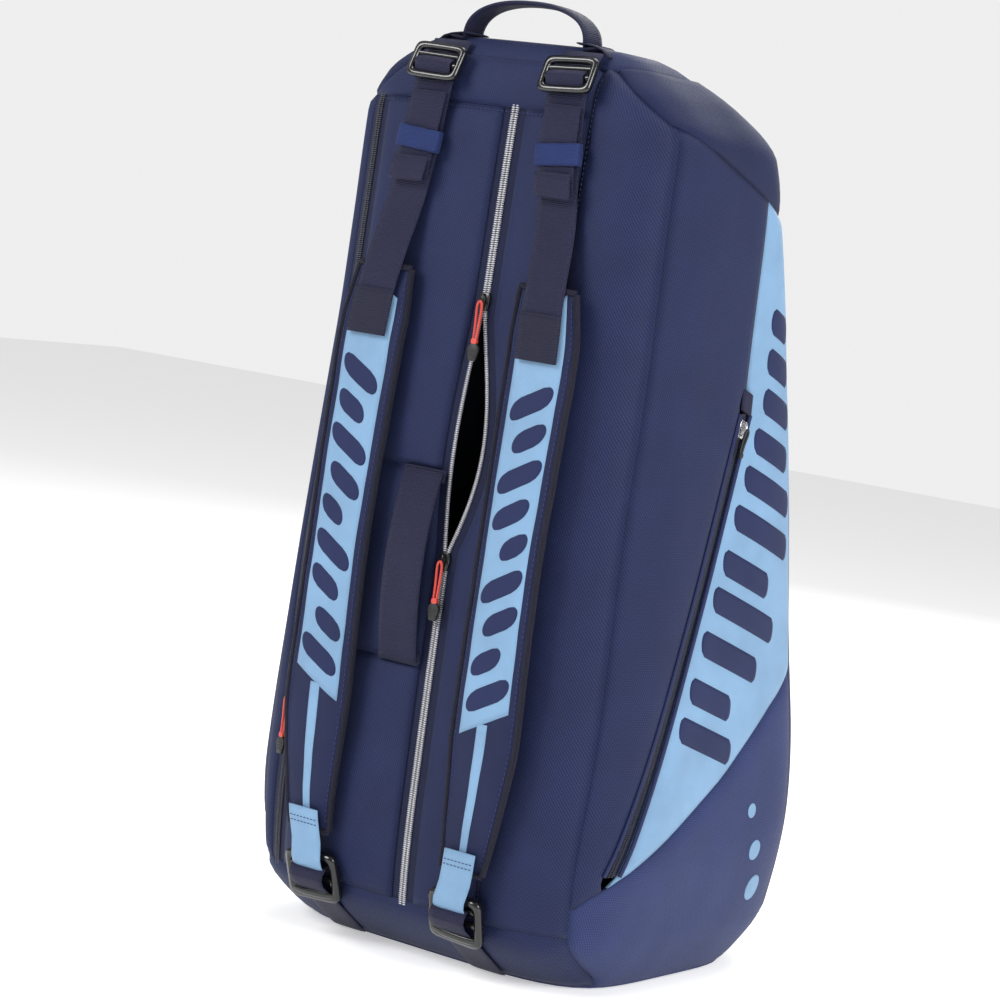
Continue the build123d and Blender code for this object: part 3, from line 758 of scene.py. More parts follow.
def make_finishes(look):
    navy, blue = tuple(look.navy), tuple(look.light_blue)
    dot = tuple(look.dot_color)
    FINISHES.update(
        navy_cloth=dotted_cloth("navy_cloth", navy, dot),
        hood_cloth=dotted_cloth("hood_cloth", tuple(c * 0.95 for c in navy), dot, (1.6, 1.2), 0.2,
                                dot_strength=0.3),
        base_cloth=dotted_cloth("base_cloth", tuple(look.base_blue), dot, (1.9, 1.4), 0.3,
                                dot_strength=0.7),
        light_blue_cloth=dotted_cloth("light_blue_cloth", blue, tuple(min(c * 1.2, 1) for c in blue),
                                      (1.6, 1.2), 0.3, roughness=0.5, dot_strength=0.35),
        print_navy=dotted_cloth("print_navy", tuple(c * 1.25 for c in navy), dot, (1.6, 1.2), 0.25,
                                dot_strength=0.35),
        pad_cloth=dotted_cloth("pad_cloth", tuple(c * 0.9 for c in navy), dot, (1.8, 1.3), 0.22,
                               dot_strength=0.35),
        webbing=ribbed_webbing("webbing", tuple(look.webbing)),
        binding=ribbed_webbing("binding", tuple(c * 0.7 for c in look.webbing), 2.2),
        keeper_elastic=ribbed_webbing("keeper_elastic", (0.008, 0.022, 0.11), 0.9),
        zip_tape=ribbed_webbing("zip_tape", tuple(c * 0.8 for c in navy), 0.8),
        silver_coil=moulded("silver_coil", (0.42, 0.42, 0.45), 0.35, 0.4),
        dark_coil=moulded("dark_coil", (0.02, 0.022, 0.035), 0.35),
        slider_black=moulded("slider_black", (0.006, 0.006, 0.007), 0.24, coat=0.2),
        slider_metal=moulded("slider_metal", (0.5, 0.5, 0.52), 0.22, 1.0),
        pull_red=moulded("pull_red", tuple(look.pull_red), 0.45),
        tab_rubber=moulded("tab_rubber", (0.006, 0.006, 0.007), 0.5),
        buckle_plastic=moulded("buckle_plastic", (0.005, 0.005, 0.006), 0.2, coat=0.25),
        thread=moulded("thread", tuple(c * 2.0 for c in navy), 0.6),
        thermal_foil=crinkled_foil("thermal_foil"),
        inner_cloth=dotted_cloth("inner_cloth", (0.03, 0.034, 0.055), (0.06, 0.065, 0.1),
                                 dot_strength=0.2),
        stiffener=moulded("stiffener", (0.03, 0.03, 0.03), 0.6),
    )
    for entry in frame["record"]["subparts"]:
        slot = entry["material_slot"]
        if slot in ("inner_cloth", "stiffener"):
            mesh = frame["nodes"][entry["node"]].data
            mesh.materials.clear()
            mesh.materials.append(FINISHES[slot])


# ---- panels ----------------------------------------------------------------------------------
def on_back(x, z):
    return x, back_y(z, x), z


def on_front(x, z):
    return x, front_y(z, x), z


def on_side(sign):
    return lambda y, z: (sign * side_x(z, y), y, z)


def on_ring(turn, z):
    x, y = around(z, turn)
    return x, y, z


def level(z):
    return lambda a: z


def coil_edge(line, half, offset=PLACKET):
    return lambda z: zip_halves(line, z)[0 if half < 0 else 1] + half * offset


def build_back(look):
    cloth = FINISHES["navy_cloth"]
    puff, wrinkle = look.puff, look.wrinkle
    low, high = level(KICK_SEAM_Z), level(YOKE_SEAM_Z)
    cloth_panel("back_left_skin", on_back, lambda z: -corner_x(z), coil_edge(LEFT_ZIP, -1), low, high,
                cloth, "back_panel_left", puff, wrinkle)
    grab_low, grab_high = GRAB_SEAMS_Z
    stops = {"lower": (KICK_SEAM_Z, grab_low), "middle": (grab_low, grab_high),
             "upper": (grab_high, YOKE_SEAM_Z)}
    for word, (start, end) in stops.items():
        cloth_panel(f"back_center_{word}_skin", on_back, coil_edge(LEFT_ZIP, 1), coil_edge(MIDDLE_ZIP, -1),
                    level(start), level(end), cloth, f"back_panel_center_{word}", puff, wrinkle, sink=1.2)
    cloth_panel("back_inner_right_skin", on_back, coil_edge(MIDDLE_ZIP, 1), lambda z: STRAP_SEAM_X, low,
                high, cloth, "back_panel_inner_right", puff, wrinkle)
    cloth_panel("back_outer_right_skin", on_back, lambda z: STRAP_SEAM_X, corner_x, low, level(CAP_Z),
                cloth, "back_panel_outer_right", puff, wrinkle, open_edges="t")
    cloth_panel("back_yoke_skin", on_back, lambda z: -corner_x(z), lambda z: STRAP_SEAM_X, high,
                level(CAP_Z), cloth, "back_yoke_panel", puff * 0.8, wrinkle, open_edges="t")
    cloth_panel("back_kick_skin", on_back, lambda z: -corner_x(z), corner_x, level(0.3), low,
                FINISHES["navy_cloth"], "back_kick_panel", puff * 0.8, wrinkle * 0.6)


def pocket_line_y(z):
    (top_y, top_z), (bottom_y, bottom_z) = POCKET_TOP, POCKET_BOTTOM
    return bottom_y + (top_y - bottom_y) * (min(z, top_z) - bottom_z) / (top_z - bottom_z)


def pocket_lip(z):
    """Half of the slot that shows the pocket's zip, closed above it."""
    above, below = (POCKET_TOP[1] + 22 - z) / 14, (z - POCKET_BOTTOM[1] + 14) / 10
    return POCKET_LIP * min(max(min(above, below), 0), 1)


def corner_y(z):
    return back_y(z, corner_x(z))


def front_seam_y(z):
    return front_y(z, half_width(z) * FRONT_SEAM_SHARE)


def build_sides(look):
    for sign, word in ((1, "right"), (-1, "left")):
        lip = pocket_lip if sign > 0 else lambda z: 0
        graphic = "side_pocket_panel_right" if sign > 0 else "side_panel_left_graphic"
        surface = on_side(sign)
        cloth_panel(f"side_upper_skin_{word}", surface, corner_y,
                    lambda z, lip=lip: pocket_line_y(z) - lip(z), seam_z, roof_edge,
                    FINISHES["navy_cloth"], f"side_panel_{word}_upper", look.puff, look.wrinkle)
        cloth_panel(f"side_graphic_skin_{word}", surface, lambda z, lip=lip: pocket_line_y(z) + lip(z),
                    front_seam_y, seam_z, roof_edge, FINISHES["light_blue_cloth"], graphic,
                    look.puff * 1.2, look.wrinkle * 0.7)
        cloth_panel(f"side_lower_skin_{word}", surface, corner_y, front_seam_y, level(0.3), seam_z,
                    FINISHES["base_cloth"], f"side_panel_{word}_lower", look.puff, look.wrinkle)


def build_front_roof_base(look):
    cloth_panel("front_skin", on_front, lambda z: -half_width(z) * FRONT_SEAM_SHARE,
                lambda z: half_width(z) * FRONT_SEAM_SHARE, level(0.3),
                lambda x: roof_edge(front_y(610, x)), FINISHES["navy_cloth"], "front_panel", look.puff * 2,
                look.wrinkle * 1.4, step=8)
    rows, cols = 16, 120
    points = np.zeros((rows + 1, cols + 1, 3))
    uvs = np.zeros((rows + 1, cols + 1, 2))
    heights = np.linspace(HOOD_Z - 10, CAP_Z, 40)
    spaced = np.array([even_turns(z, turn_at_x(z, corner_x(z)), cols + 1) for z in heights])
    for c in range(cols + 1):
        z = 640.0
        for _ in range(20):
            turn = np.interp(z, heights, spaced[:, c])
            z = (z + roof_edge(around(z, turn)[1])) / 2
        for r in range(rows + 1):
            height = z + (CAP_Z - z) * r / rows
            points[r, c] = on_ring(np.interp(height, heights, spaced[:, c]), height)
            uvs[r, c] = (c / cols * 0.78, height * 0.001)
    normals = grid_normals(points)
    for r in range(rows + 1):
        for c in range(cols + 1):
            edge = min(r / rows * 90, c * 6, (cols - c) * 6)
            rise = -1.4 + (1.4 + look.puff) * (1 - math.exp(-edge / 7.0))
            points[r, c] += normals[r, c] * (rise + creases(points[r, c], look.wrinkle) * min(edge / 20, 1))
    roof = closed_grid("roof_skin", to_frame(points), to_frame(points - normals * 2.4),
                       FINISHES["hood_cloth"], uvs)
    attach(roof, "bag")
    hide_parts("roof_panel")
    build_ridge(look)
    build_base()


def build_ridge(look):
    """Cap over the top: the last of the section's rings, then rings drawn in to its middle."""
    cols = 96
    steps = [(CAP_Z, 0.0, 1.6), (714, 0.0, 2.2), (719, 0.0, 2.0), (722, 0.03, 1.6), (724, 0.09, 1.0),
             (725.2, 0.2, 0.6), (725.8, 0.4, 0.3), (726, 0.65, 0.1), (726, 0.97, 0)]
    middle = middle_reach(TOP_Z)[0]
    points = np.zeros((len(steps), cols, 3))
    uvs = np.zeros((len(steps), cols, 2))
    for r, (z, draw, out) in enumerate(steps):
        turns = even_turns(min(z, TOP_Z), 0, cols + 1)
        for c in range(cols):
            x, y = around(min(z, TOP_Z), turns[c])
            x, y = x * (1 - draw), middle + (y - middle) * (1 - draw)
            away = Vector((x, y - middle, 0)).normalized()
            points[r, c] = (x + away.x * out, y + away.y * out, z)
            uvs[r, c] = (x * 0.001, (z + y * 0.7) * 0.001)
    inner = points * [0.97, 1, 1] - [0, 0, 3]
    cap = closed_grid("ridge_skin", to_frame(points), to_frame(inner), FINISHES["navy_cloth"], uvs,
                      loop_u=True)
    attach(cap, "bag")
    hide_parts("ridge_panel")


def build_base():
    cols = 72
    rings = [1.0, 0.985, 0.95, 0.8, 0.6, 0.4, 0.2, 0.02]
    lifts = [1.4, 0.4, 0.15, 0.1, 0.1, 0.1, 0.1, 0.1]
    points = np.zeros((len(rings), cols, 3))
    uvs = np.zeros((len(rings), cols, 2))
    turns = even_turns(0, 0, cols + 1)
    middle = middle_reach(0)[0]
    for r, (size, lift) in enumerate(zip(rings, lifts)):
        for c in range(cols):
            x, y = around(0, turns[c])
            points[r, c] = (x * size, middle + (y - middle) * size, lift)
            uvs[r, c] = (x * size * 0.001, y * size * 0.001)
    base = closed_grid("base_skin", to_frame(points + [0, 0, 2.5]), to_frame(points), FINISHES["base_cloth"],
                       uvs, loop_u=True)
    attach(base, "bag")
    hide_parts("base_panel")


def side_bar(sign, y, z, length, width):
    """Slanted round-ended bar on the side's graphic panel, kept clear of the panel's seams."""
    cell = []
    rows, cols = 6, max(8, round(length / 3))
    for r in range(rows + 1):
        side = width * (r / rows - 0.5)
        bulge = math.sqrt(max(width * width / 4 - side * side, 0)) - width / 2
        row = []
        for c in range(cols + 1):
            s = (length / 2 + bulge * 0.55) * (2 * c / cols - 1) - side * 0.25
            high = z + side * 0.96 - s * 0.29
            deep = y + s * 0.96 + side * 0.29
            low_y, high_y = pocket_line_y(high) + 16, front_seam_y(high) - 9
            row.append(place(sign * OUTSIDE_X, min(max(deep, low_y), high_y), high))
        cell.append(row)
    return cell


def build_prints(look):
    """Generic bar pattern on both sides and three plain discs on the lower panels."""
    for sign, word in ((1, "right"), (-1, "left")):
        toward = (-sign, 0, 0)
        cells = []
        lengths = [46, 72, 84, 66, 92, 104, 76, 96, 84, 62, 78, 56, 60]
        for i, length in enumerate(lengths):
            z = 138 + i * 33
            start = pocket_line_y(z) + 20
            end = min(start + length, front_seam_y(z) - 10)
            low = seam_z(end) + 22
            if end - start > 24 and z > low:
                cells.append(side_bar(sign, (start + end) / 2, z, end - start, 20))
        print_on(f"side_bars_{word}", SKINS[f"side_graphic_skin_{word}"], toward, cells,
                 FINISHES["print_navy"])
        discs = [disc(place(sign * OUTSIDE_X, 78 + i * 14, 142 - i * 34), radius)
                 for i, radius in enumerate((6, 8.5, 11))]
        print_on(f"base_marks_{word}", SKINS[f"side_lower_skin_{word}"], toward, discs,
                 FINISHES["light_blue_cloth"])


# ---- zips ------------------------------------------------------------------------------------
def zip_point(line, z, x, lift=0.0):
    """Point on the zip's own surface, lift mm outside the coil's face."""
    left, right = Vector((x - 2, back_y(z, x - 2), 0)), Vector((x + 2, back_y(z, x + 2), 0))
    tangent = (right - left).normalized()
    normal = Vector((tangent.y, -tangent.x, 0))
    base = Vector((x, back_y(z, x), z)) + normal * (lift - RECESS)
    return place(*base), normal, tangent


def zip_frame(line, z):
    point, normal, tangent = zip_point(line, z, line["x"])
    above, _, _ = zip_point(line, z + 60, line["x"])
    up = (above - point).normalized()
    out = tangent.cross(up).normalized()
    return frame_of(point, tangent, out), out


def levels_of(line, beyond, step=6):
    """Heights along a zip and a little past both its ends."""
    low, high = line["bottom"] - beyond, line["top"] + beyond
    count = round((high - low) / step)
    return [low + (high - low) * i / count for i in range(count + 1)]


def build_zip(name, line, coil):
    for half, word in ((-1, "left"), (1, "right")):
        path, sides, teeth = [], [], []
        for z in levels_of(line, 4.5):
            edge = zip_halves(line, z)[0 if half < 0 else 1]
            point, _, tangent = zip_point(line, z, edge + half * 6.6, 0.2)
            path.append(point)
            sides.append(tangent)
            teeth.append(zip_point(line, z, edge + half * 1.75, 1.3)[0])
        tape = band(f"{name}_{word}_tape", path, sides, 12.6, 1.2, FINISHES["zip_tape"], cols=6)
        _, normal, _ = zip_point(line, 350, line["x"])
        chain = bead_rows(f"{name}_{word}_coil", [teeth], 1.7, (4.2, 1.5, 2.0), normal, coil)
        for piece in (tape, chain):
            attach(piece, "bag")
        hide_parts(f"{name}_{word}_half")


def build_slider(prefix, matrix, body_color, pull_color, pull_length=32, tab=True):
    """Slider with its bail, a two-strand loop through the bail and a tab at its end."""
    shield = [(-3.2, 7.2), (3.2, 7.2), (5.1, 4.6), (5.1, 1.2), (3.9, -6.2), (2.4, -7.4), (-2.4, -7.4),
              (-3.9, -6.2), (-5.1, 1.2), (-5.1, 4.6)]
    wings = plate("wings", shield, 1.3, 3.1, body_color, 0.55, matrix)
    lower = plate("lower", shield, -0.6, 0.3, body_color, 0.2, matrix)
    arch = [(0, 5.6, 2.6), (0, 5.9, 4.6), (0, 3.6, 6.0), (0, -1.5, 6.1), (0, -4.6, 5.2), (0, -5.0, 2.6)]
    bail = tube("bail", [matrix @ Vector(p) for p in arch], 0.85, body_color)
    slider = joined(f"{prefix}_slider_body", [wings, lower, bail])
    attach(slider, f"{prefix}_slider")
    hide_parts(f"{prefix}_slider")
    end = -pull_length
    strands = []
    for side in (-1, 1):
        run = [(side * 0.3, 0.2, 7.7), (side * 1.9, -1.0, 7.9), (side * 2.5, -5, 7.6),
               (side * 1.7, end * 0.5, 7.1), (side * 1.5, end + 4, 7.3), (side * 1.3, end, 7.3)]
        strands.append(tube("strand", [matrix @ Vector(p) for p in run], 1.05, pull_color))
    strands.append(plate("collar", ellipse_outline(5.4, 4.4, 3, 20, (0, end + 1.0)), 5.9, 8.8,
                         pull_color, 0.5, matrix))
    pull = joined(f"{prefix}_pull_loop", strands)
    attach(pull, f"{prefix}_pull")
    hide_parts(f"{prefix}_pull")
    if tab:
        outline = [(-1.8, end + 0.2), (1.8, end + 0.2), (5.2, end - 3.8), (5.2, end - 6.5), (3.2, end - 14.6),
                   (-3.2, end - 14.6), (-5.2, end - 6.5), (-5.2, end - 3.8)]
        body = plate("tab", outline, 5.9, 8.7, FINISHES["tab_rubber"], 0.8, matrix)
        ridges = [plate("ridge", [(-3, y - 0.5), (3, y - 0.5), (3, y + 0.5), (-3, y + 0.5)], 8.4, 9.1,
                        FINISHES["tab_rubber"], 0.2, matrix) for y in (end - 6, end - 8.5, end - 11)]
        tab_piece = joined(f"{prefix}_pull_tab_rubber", [body] + ridges)
        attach(tab_piece, f"{prefix}_pull")
        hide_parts(f"{prefix}_pull_tab")


def build_back_zips(look):
    build_zip("middle_zip", MIDDLE_ZIP, FINISHES["silver_coil"])
    build_zip("left_zip", LEFT_ZIP, FINISHES["dark_coil"])
    for name, line in (("middle_zip", MIDDLE_ZIP), ("left_zip", LEFT_ZIP)):
        for z, word in ((line["low"] - 8, "lower"), (line["high"] + 8, "upper")):
            matrix, _ = zip_frame(line, z)
            build_slider(f"{name}_{word}", matrix, FINISHES["slider_black"], FINISHES["pull_red"])


def pocket_frame():
    (top_y, top_z), (bottom_y, bottom_z) = POCKET_TOP, POCKET_BOTTOM
    top = Vector((side_x(top_z, top_y) - RECESS, top_y, top_z))
    bottom = Vector((side_x(bottom_z, bottom_y) - RECESS, bottom_y, bottom_z))
    along = (top - bottom).normalized()
    out = (Vector((1, 0, 0)) - along * along.x).normalized()
    return frame_of(place(*top), along.cross(out), out), out


def pocket_point(along, across, lift):
    """Point of the pocket's zip: share along it from its top, mm across it and mm above the coil's bed."""
    z = POCKET_TOP[1] + (POCKET_BOTTOM[1] - POCKET_TOP[1]) * along
    y = pocket_line_y(z) + across
    return place(side_x(z, y) - RECESS + lift, y, z)


def build_pocket_zip(look):
    matrix, out = pocket_frame()
    rows = 60
    pieces = []
    for half, word in ((-1, "left"), (1, "right")):
        path = [pocket_point(i / rows, half * 4.6, 0.4) for i in range(rows + 1)]
        side = (matrix.to_3x3() @ Vector((1, 0, 0))).normalized()
        pieces.append(band("tape", path, [side] * len(path), 9.2, 1.2, FINISHES["zip_tape"], cols=6))
        teeth = [pocket_point(i / rows, half * 1.5, 1.3) for i in range(rows + 1)]
        chain = bead_rows(f"side_pocket_coil_{word}", [teeth], 1.7, (3.6, 1.5, 1.8), out,
                          FINISHES["dark_coil"])
        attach(chain, "bag")
        welt = [pocket_point(i / rows, half * 7.4, 3.0) for i in range(rows + 1)]
        pieces.append(band("welt", welt, [side] * len(welt), 4.6, 2.4, FINISHES["print_navy"], cols=6))
    end = [pocket_point(share, 0, 3.2) for share in (-0.05, -0.035, -0.02, -0.004)]
    pieces.append(band("garage", end, [side] * 4, 17, 2.6, FINISHES["webbing"], cols=6))
    tape = joined("side_pocket_tape", pieces)
    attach(tape, "bag")
    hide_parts("side_pocket_zip")
    start = matrix @ Matrix.Translation((0, -12, 1.2))
    build_slider("side_pocket", start, FINISHES["slider_metal"], FINISHES["tab_rubber"], 22, tab=False)


# ---- straps ----------------------------------------------------------------------------------
def strap_point(z, gap, sign):
    x = strap_x(z)
    return place(sign * x, back_y(z, x) - gap, z)


def strap_frame(z, gap, sign, reach=14):
    low, high = strap_point(z - reach, gap, sign), strap_point(z + reach, gap, sign)
    up = (high - low).normalized()
    back = Vector((0, -1, 0))
    out = (back - up * back.dot(up)).normalized()
    return frame_of((low + high) / 2, up.cross(out), out)


def pad_width(z):
    share = pad_share(z)
    wave = 2.2 * math.sin(share * 9.0)
    return (58 + wave) * min(1, 0.66 + 1.5 * share, 0.86 + 1.6 * (1 - share))


def pad_point(sign, z, turn, lift=0.0):
    """Point of the pad's section at height z; turn 90 is its outer face's middle, 0 and 180 its edges."""
    end = min(z - PAD_BOTTOM, PAD_TOP - z) / 22
    close = min(1, math.sqrt(max(end, 0.0)) * 0.6 + 0.25)
    s, k = math.cos(math.radians(turn)), math.sin(math.radians(turn))
    across = math.copysign(abs(s) ** 0.62, s)
    deep = math.copysign(abs(k) ** 0.8, k)
    swell = PAD_THICK / 2 * (0.42 + 0.58 * (1 - abs(across) ** 3.2)) * close
    wave = 0.9 * noise.noise(Vector((across * 2, z * 0.035, sign * 3.0)))
    y = back_y(z, strap_x(z)) - pad_gap(z) - PAD_THICK / 2 - deep * swell + wave
    return place(sign * (strap_x(z) + across * pad_width(z) / 2), y - lift, z)


def pad_print(sign, z, across, lift):
    """Point lift mm over the pad's outer face, at a share across it."""
    turn = math.degrees(math.acos(math.copysign(abs(across) ** (1 / 0.62), across)))
    return pad_point(sign, z, turn, lift)


def pad_film(sign, cell, lift):
    """Print on the pad's face from rows of (z, share across)."""
    top = [[pad_print(sign, z, across, lift) for z, across in row] for row in cell]
    under = [[pad_print(sign, z, across, -0.3) for z, across in row] for row in cell]
    return np.array(top), np.array(under)


def pad_prints(name, sign, cells, lift, finish, body):
    pieces = []
    for cell in cells:
        top, under = pad_film(sign, cell, lift)
        uvs = np.array([[(across * 0.027, z * 0.001) for z, across in row] for row in cell])
        pieces.append(closed_grid("film", top, under, finish, uvs))
    piece = joined(name, pieces)
    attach(piece, body)


def pad_bar(z, left, right, height, slant):
    """Slanted round-ended bar between two shares across the pad."""
    cell = []
    for r in range(13):
        side = height * (r / 12 - 0.5)
        bulge = (math.sqrt(max(height * height / 4 - side * side, 0)) - height / 2) / 30
        low, high = left - bulge, right + bulge
        cell.append([(z + side + slant * (low + (high - low) * c / 20), low + (high - low) * c / 20)
                     for c in range(21)])
    return cell


def build_pad(sign, word, look):
    """Shoulder pad: a crowned foam core with sewn-down edges, and its printed face."""
    rows, cols = 90, 44
    points = [pad_point(sign, PAD_BOTTOM + (PAD_TOP - PAD_BOTTOM) * r / rows, 360 * c / cols)
              for r in range(rows + 1) for c in range(cols)]
    uvs = [(pad_width(300) * math.cos(2 * math.pi * c / cols) * 0.0005, (r / rows) * 0.452)
           for r in range(rows + 1) for c in range(cols)]
    faces = [(r * cols + c, r * cols + (c + 1) % cols, (r + 1) * cols + (c + 1) % cols, (r + 1) * cols + c)
             for r in range(rows) for c in range(cols)]
    faces.append(tuple(range(cols)))
    faces.append(tuple(rows * cols + c for c in range(cols)))
    pad = new_piece(f"shoulder_pad_core_{word}", points, faces, FINISHES["pad_cloth"], uvs)
    mend_normals(pad)
    body = f"strap_{word}"
    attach(pad, body)
    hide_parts(f"shoulder_pad_{word}")
    steps = [-0.72 + 1.44 * c / 12 for c in range(13)]
    ground = [[(206 + (526 - 206) * r / 60 + 16 * a, a) for a in steps] for r in range(61)]
    pad_prints(f"pad_ground_{word}", sign, [ground], 0.3, FINISHES["light_blue_cloth"], body)
    bars = []
    reach = [(-0.6, 0.66), (-0.62, 0.3), (-0.4, 0.64), (-0.62, 0.64), (-0.2, 0.62), (-0.6, 0.5),
             (-0.62, 0.66), (-0.35, 0.6), (-0.6, 0.62)]
    for i, (left, right) in enumerate(reach):
        bars.append(pad_bar(228 + i * 28, left, right, 17, 16))
    pad_prints(f"pad_bars_{word}", sign, bars, 0.6, FINISHES["print_navy"], body)
    stripe = [[(92 + 114 * r / 40, -0.15 + 0.3 * c / 4) for c in range(5)] for r in range(41)]
    pad_prints(f"pad_stripe_{word}", sign, [stripe], 0.35, FINISHES["light_blue_cloth"], body)
    edge_lines = []
    for side in (0, 180):
        path = [pad_point(sign, PAD_BOTTOM + 2 + (PAD_TOP - PAD_BOTTOM - 4) * r / 70, side)
                for r in range(71)]
        edge_lines.append(tube("binding", path, 2.6, FINISHES["binding"], order=3))
        turn = 38 if side == 0 else 142
        stitch = [pad_point(sign, PAD_BOTTOM + 10 + (PAD_TOP - PAD_BOTTOM - 20) * r / 80, turn, 0.2)
                  for r in range(81)]
        row = bead_rows(f"pad_stitches_{word}_{'out' if side == 0 else 'in'}", [stitch], 4.2, (0.8, 3.0, 0.8),
                        (0, -1, 0), FINISHES["thread"])
        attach(row, body)
    for end in (PAD_TOP - 1, PAD_BOTTOM + 1):
        path = [pad_point(sign, end, 180 * c / 16) for c in range(17)]
        edge_lines.append(tube("binding", path, 2.4, FINISHES["binding"], order=3))
    binding = joined(f"pad_binding_{word}", edge_lines)
    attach(binding, body)


def build_webbing(sign, word, look):
    body = f"strap_{word}"
    web = FINISHES["webbing"]
    across = Vector((1, 0, 0))
    path = []
    for i in range(60):
        z = 720 - (720 - 484) * i / 59
        share = min(max((PAD_TOP + 62 - z) / 84, 0), 1)
        gap = WEBBING_GAP + (pad_gap(z) + PAD_THICK + 0.8 - WEBBING_GAP) * share * share * (3 - 2 * share)
        path.append(strap_point(z, gap + 0.9, sign))
    upper = band(f"upper_webbing_strip_{word}", path, [across] * 60, WEBBING_WIDTH, WEBBING_THICK, web)
    tack = [path[i] + Vector((0, -0.0015, 0)) for i in range(50, 60)]
    patch = band(f"webbing_tack_{word}", tack, [across] * 10, WEBBING_WIDTH + 1.5, 1.4, FINISHES["binding"])
    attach(patch, body)
    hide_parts(f"upper_webbing_{word}")
    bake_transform(upper)
    tail = [strap_point(z, WEBBING_GAP + 3.9 + 1.2 * math.sin((z - 608) * 0.05), sign)
            for z in np.linspace(678, 612, 22)]
    fold = [strap_point(609 - 1.5 * math.sin(a), WEBBING_GAP + 5.2 + 2.2 * (1 - math.cos(a)), sign)
            for a in np.linspace(0, math.pi, 6)]
    back_up = [strap_point(z, WEBBING_GAP + 9.4, sign) for z in (614, 620, 626)]
    line = tail + fold + back_up
    strip = band(f"webbing_tail_strip_{word}", line, [across] * len(line), 33, 1.5, web)
    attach(strip, body)
    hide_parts(f"webbing_tail_{word}")
    ring = []
    for i in range(25):
        turn = 2 * math.pi * i / 24
        c, s = math.cos(turn), math.sin(turn)
        ring.append((20.2 * math.copysign(abs(c) ** 0.3, c), 3.7 * math.copysign(abs(s) ** 0.45, s)))
    matrix = strap_frame(KEEPER_Z, WEBBING_GAP, sign)
    line = [matrix @ Vector((x, 0, 3.4 + y)) for x, y in ring]
    up = (matrix.to_3x3() @ Vector((0, 1, 0))).normalized()
    keeper = band(f"elastic_keeper_loop_{word}", line, [up] * len(line), 17, 1.0, FINISHES["keeper_elastic"])
    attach(keeper, body)
    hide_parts(f"elastic_keeper_{word}")


def buckle_frame(name, matrix, width, height, rail, bars, color):
    """Moulded frame: a rounded ring of flattened section with cross bars of (y, lift, radius)."""
    outer = ellipse_outline(width, height, 7, 40)
    inner = ellipse_outline(width - 2 * rail, height - 2 * rail, 7, 40)
    verts, faces = [], []
    profile = [(outer, -0.36), (outer, 0.36), (None, 0.5), (inner, 0.36), (inner, -0.36), (None, -0.5)]
    for outline, rise in profile:
        for i in range(40):
            if outline:
                x, y = outline[i]
            else:
                x, y = (outer[i][0] + inner[i][0]) / 2, (outer[i][1] + inner[i][1]) / 2
            verts.append(matrix @ Vector((x, y, rise * rail * 1.15)))
    for k in range(6):
        for i in range(40):
            a, b = k * 40 + i, k * 40 + (i + 1) % 40
            c, d = ((k + 1) % 6) * 40 + (i + 1) % 40, ((k + 1) % 6) * 40 + i
            faces.append((a, b, c, d))
    ring = new_piece("ring", verts, faces, color)
    mend_normals(ring)
    pieces = [ring]
    half = width / 2 - rail * 0.6
    for y, lift, radius in bars:
        run = [(-half, y, 0), (-half * 0.6, y, lift), (0, y, lift), (half * 0.6, y, lift), (half, y, 0)]
        pieces.append(tube("bar", [matrix @ Vector(p) for p in run], radius, color, sides=16))
    return joined(name, pieces)


def build_buckles(sign, word, look):
    plastic, web = FINISHES["buckle_plastic"], FINISHES["webbing"]
    matrix = strap_frame(TRIGLIDE_Z, WEBBING_GAP, sign) @ Matrix.Translation((0, 0, 8.2))
    glide = buckle_frame(f"triglide_frame_{word}", matrix, 48, 30, 4.8, [(-2.4, 1.2, 2.2), (5.4, 0, 2.0)],
                         plastic)
    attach(glide, f"triglide_{word}")
    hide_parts(f"triglide_{word}")
    wrap = [matrix @ Vector(p) for p in ((0, -12.5, -2.6), (0, -9, 0.2), (0, -5.4, 3.2), (0, -2.2, 4.6),
                                         (0, 1.0, 3.0), (0, 3.0, 0.4), (0, 5.4, -2.4))]
    side = (matrix.to_3x3() @ Vector((1, 0, 0))).normalized()
    loop = band(f"triglide_webbing_{word}", wrap, [side] * len(wrap), 34, 1.6, web)
    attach(loop, f"triglide_{word}")
    matrix = strap_frame(LADDER_Z, 10, sign, 20) @ Matrix.Translation((0, 0, 3))
    lock = buckle_frame(f"ladder_lock_frame_{word}", matrix, 50, 42, 6.4,
                        [(9.5, 0.6, 3.0), (-1.0, 1.6, 3.0), (-14.5, 2.4, 3.6)], plastic)
    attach(lock, f"ladder_lock_{word}")
    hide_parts(f"ladder_lock_{word}")
    neck = [strap_point(z, g, sign) for z, g in ((106, 20.4), (98, 19.6), (90, 18.4), (80, 17.4), (72, 18.4),
                                                 (66, 19.4), (61, 18.2), (57, 15.0))]
    strip = band(f"pad_end_webbing_{word}", neck, [Vector((1, 0, 0))] * 8, 29, 2.2,
                 FINISHES["light_blue_cloth"])
    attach(strip, f"strap_{word}")
    rows = []
    for z, gap in ((98, 20.9), (94, 20.4)):
        middle = strap_point(z, gap, sign)
        rows.append([middle + Vector((x, 0, 0)) * 0.001 for x in range(-12, 13, 3)])
    stitch = bead_rows(f"pad_end_stitches_{word}", rows, 3.4, (0.8, 2.4, 0.8), (0, -1, 0), FINISHES["thread"])
    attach(stitch, f"strap_{word}")
    path = []
    for z, gap in ((60, 14.8), (55, 18.6), (50, 19.4), (45, 17.4), (40, 12.6), (34, 8.6), (26, 6.4),
                   (18, 5.4), (10, 5.0), (5, 4.4), (2.4, 3.2)):
        path.append(place(sign * strap_x(60), back_y(z, 70) - gap, z))
    lower = band(f"lower_webbing_strip_{word}", path, [Vector((1, 0, 0))] * len(path), 33, 1.8, web)
    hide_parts(f"lower_webbing_{word}")
    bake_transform(lower)


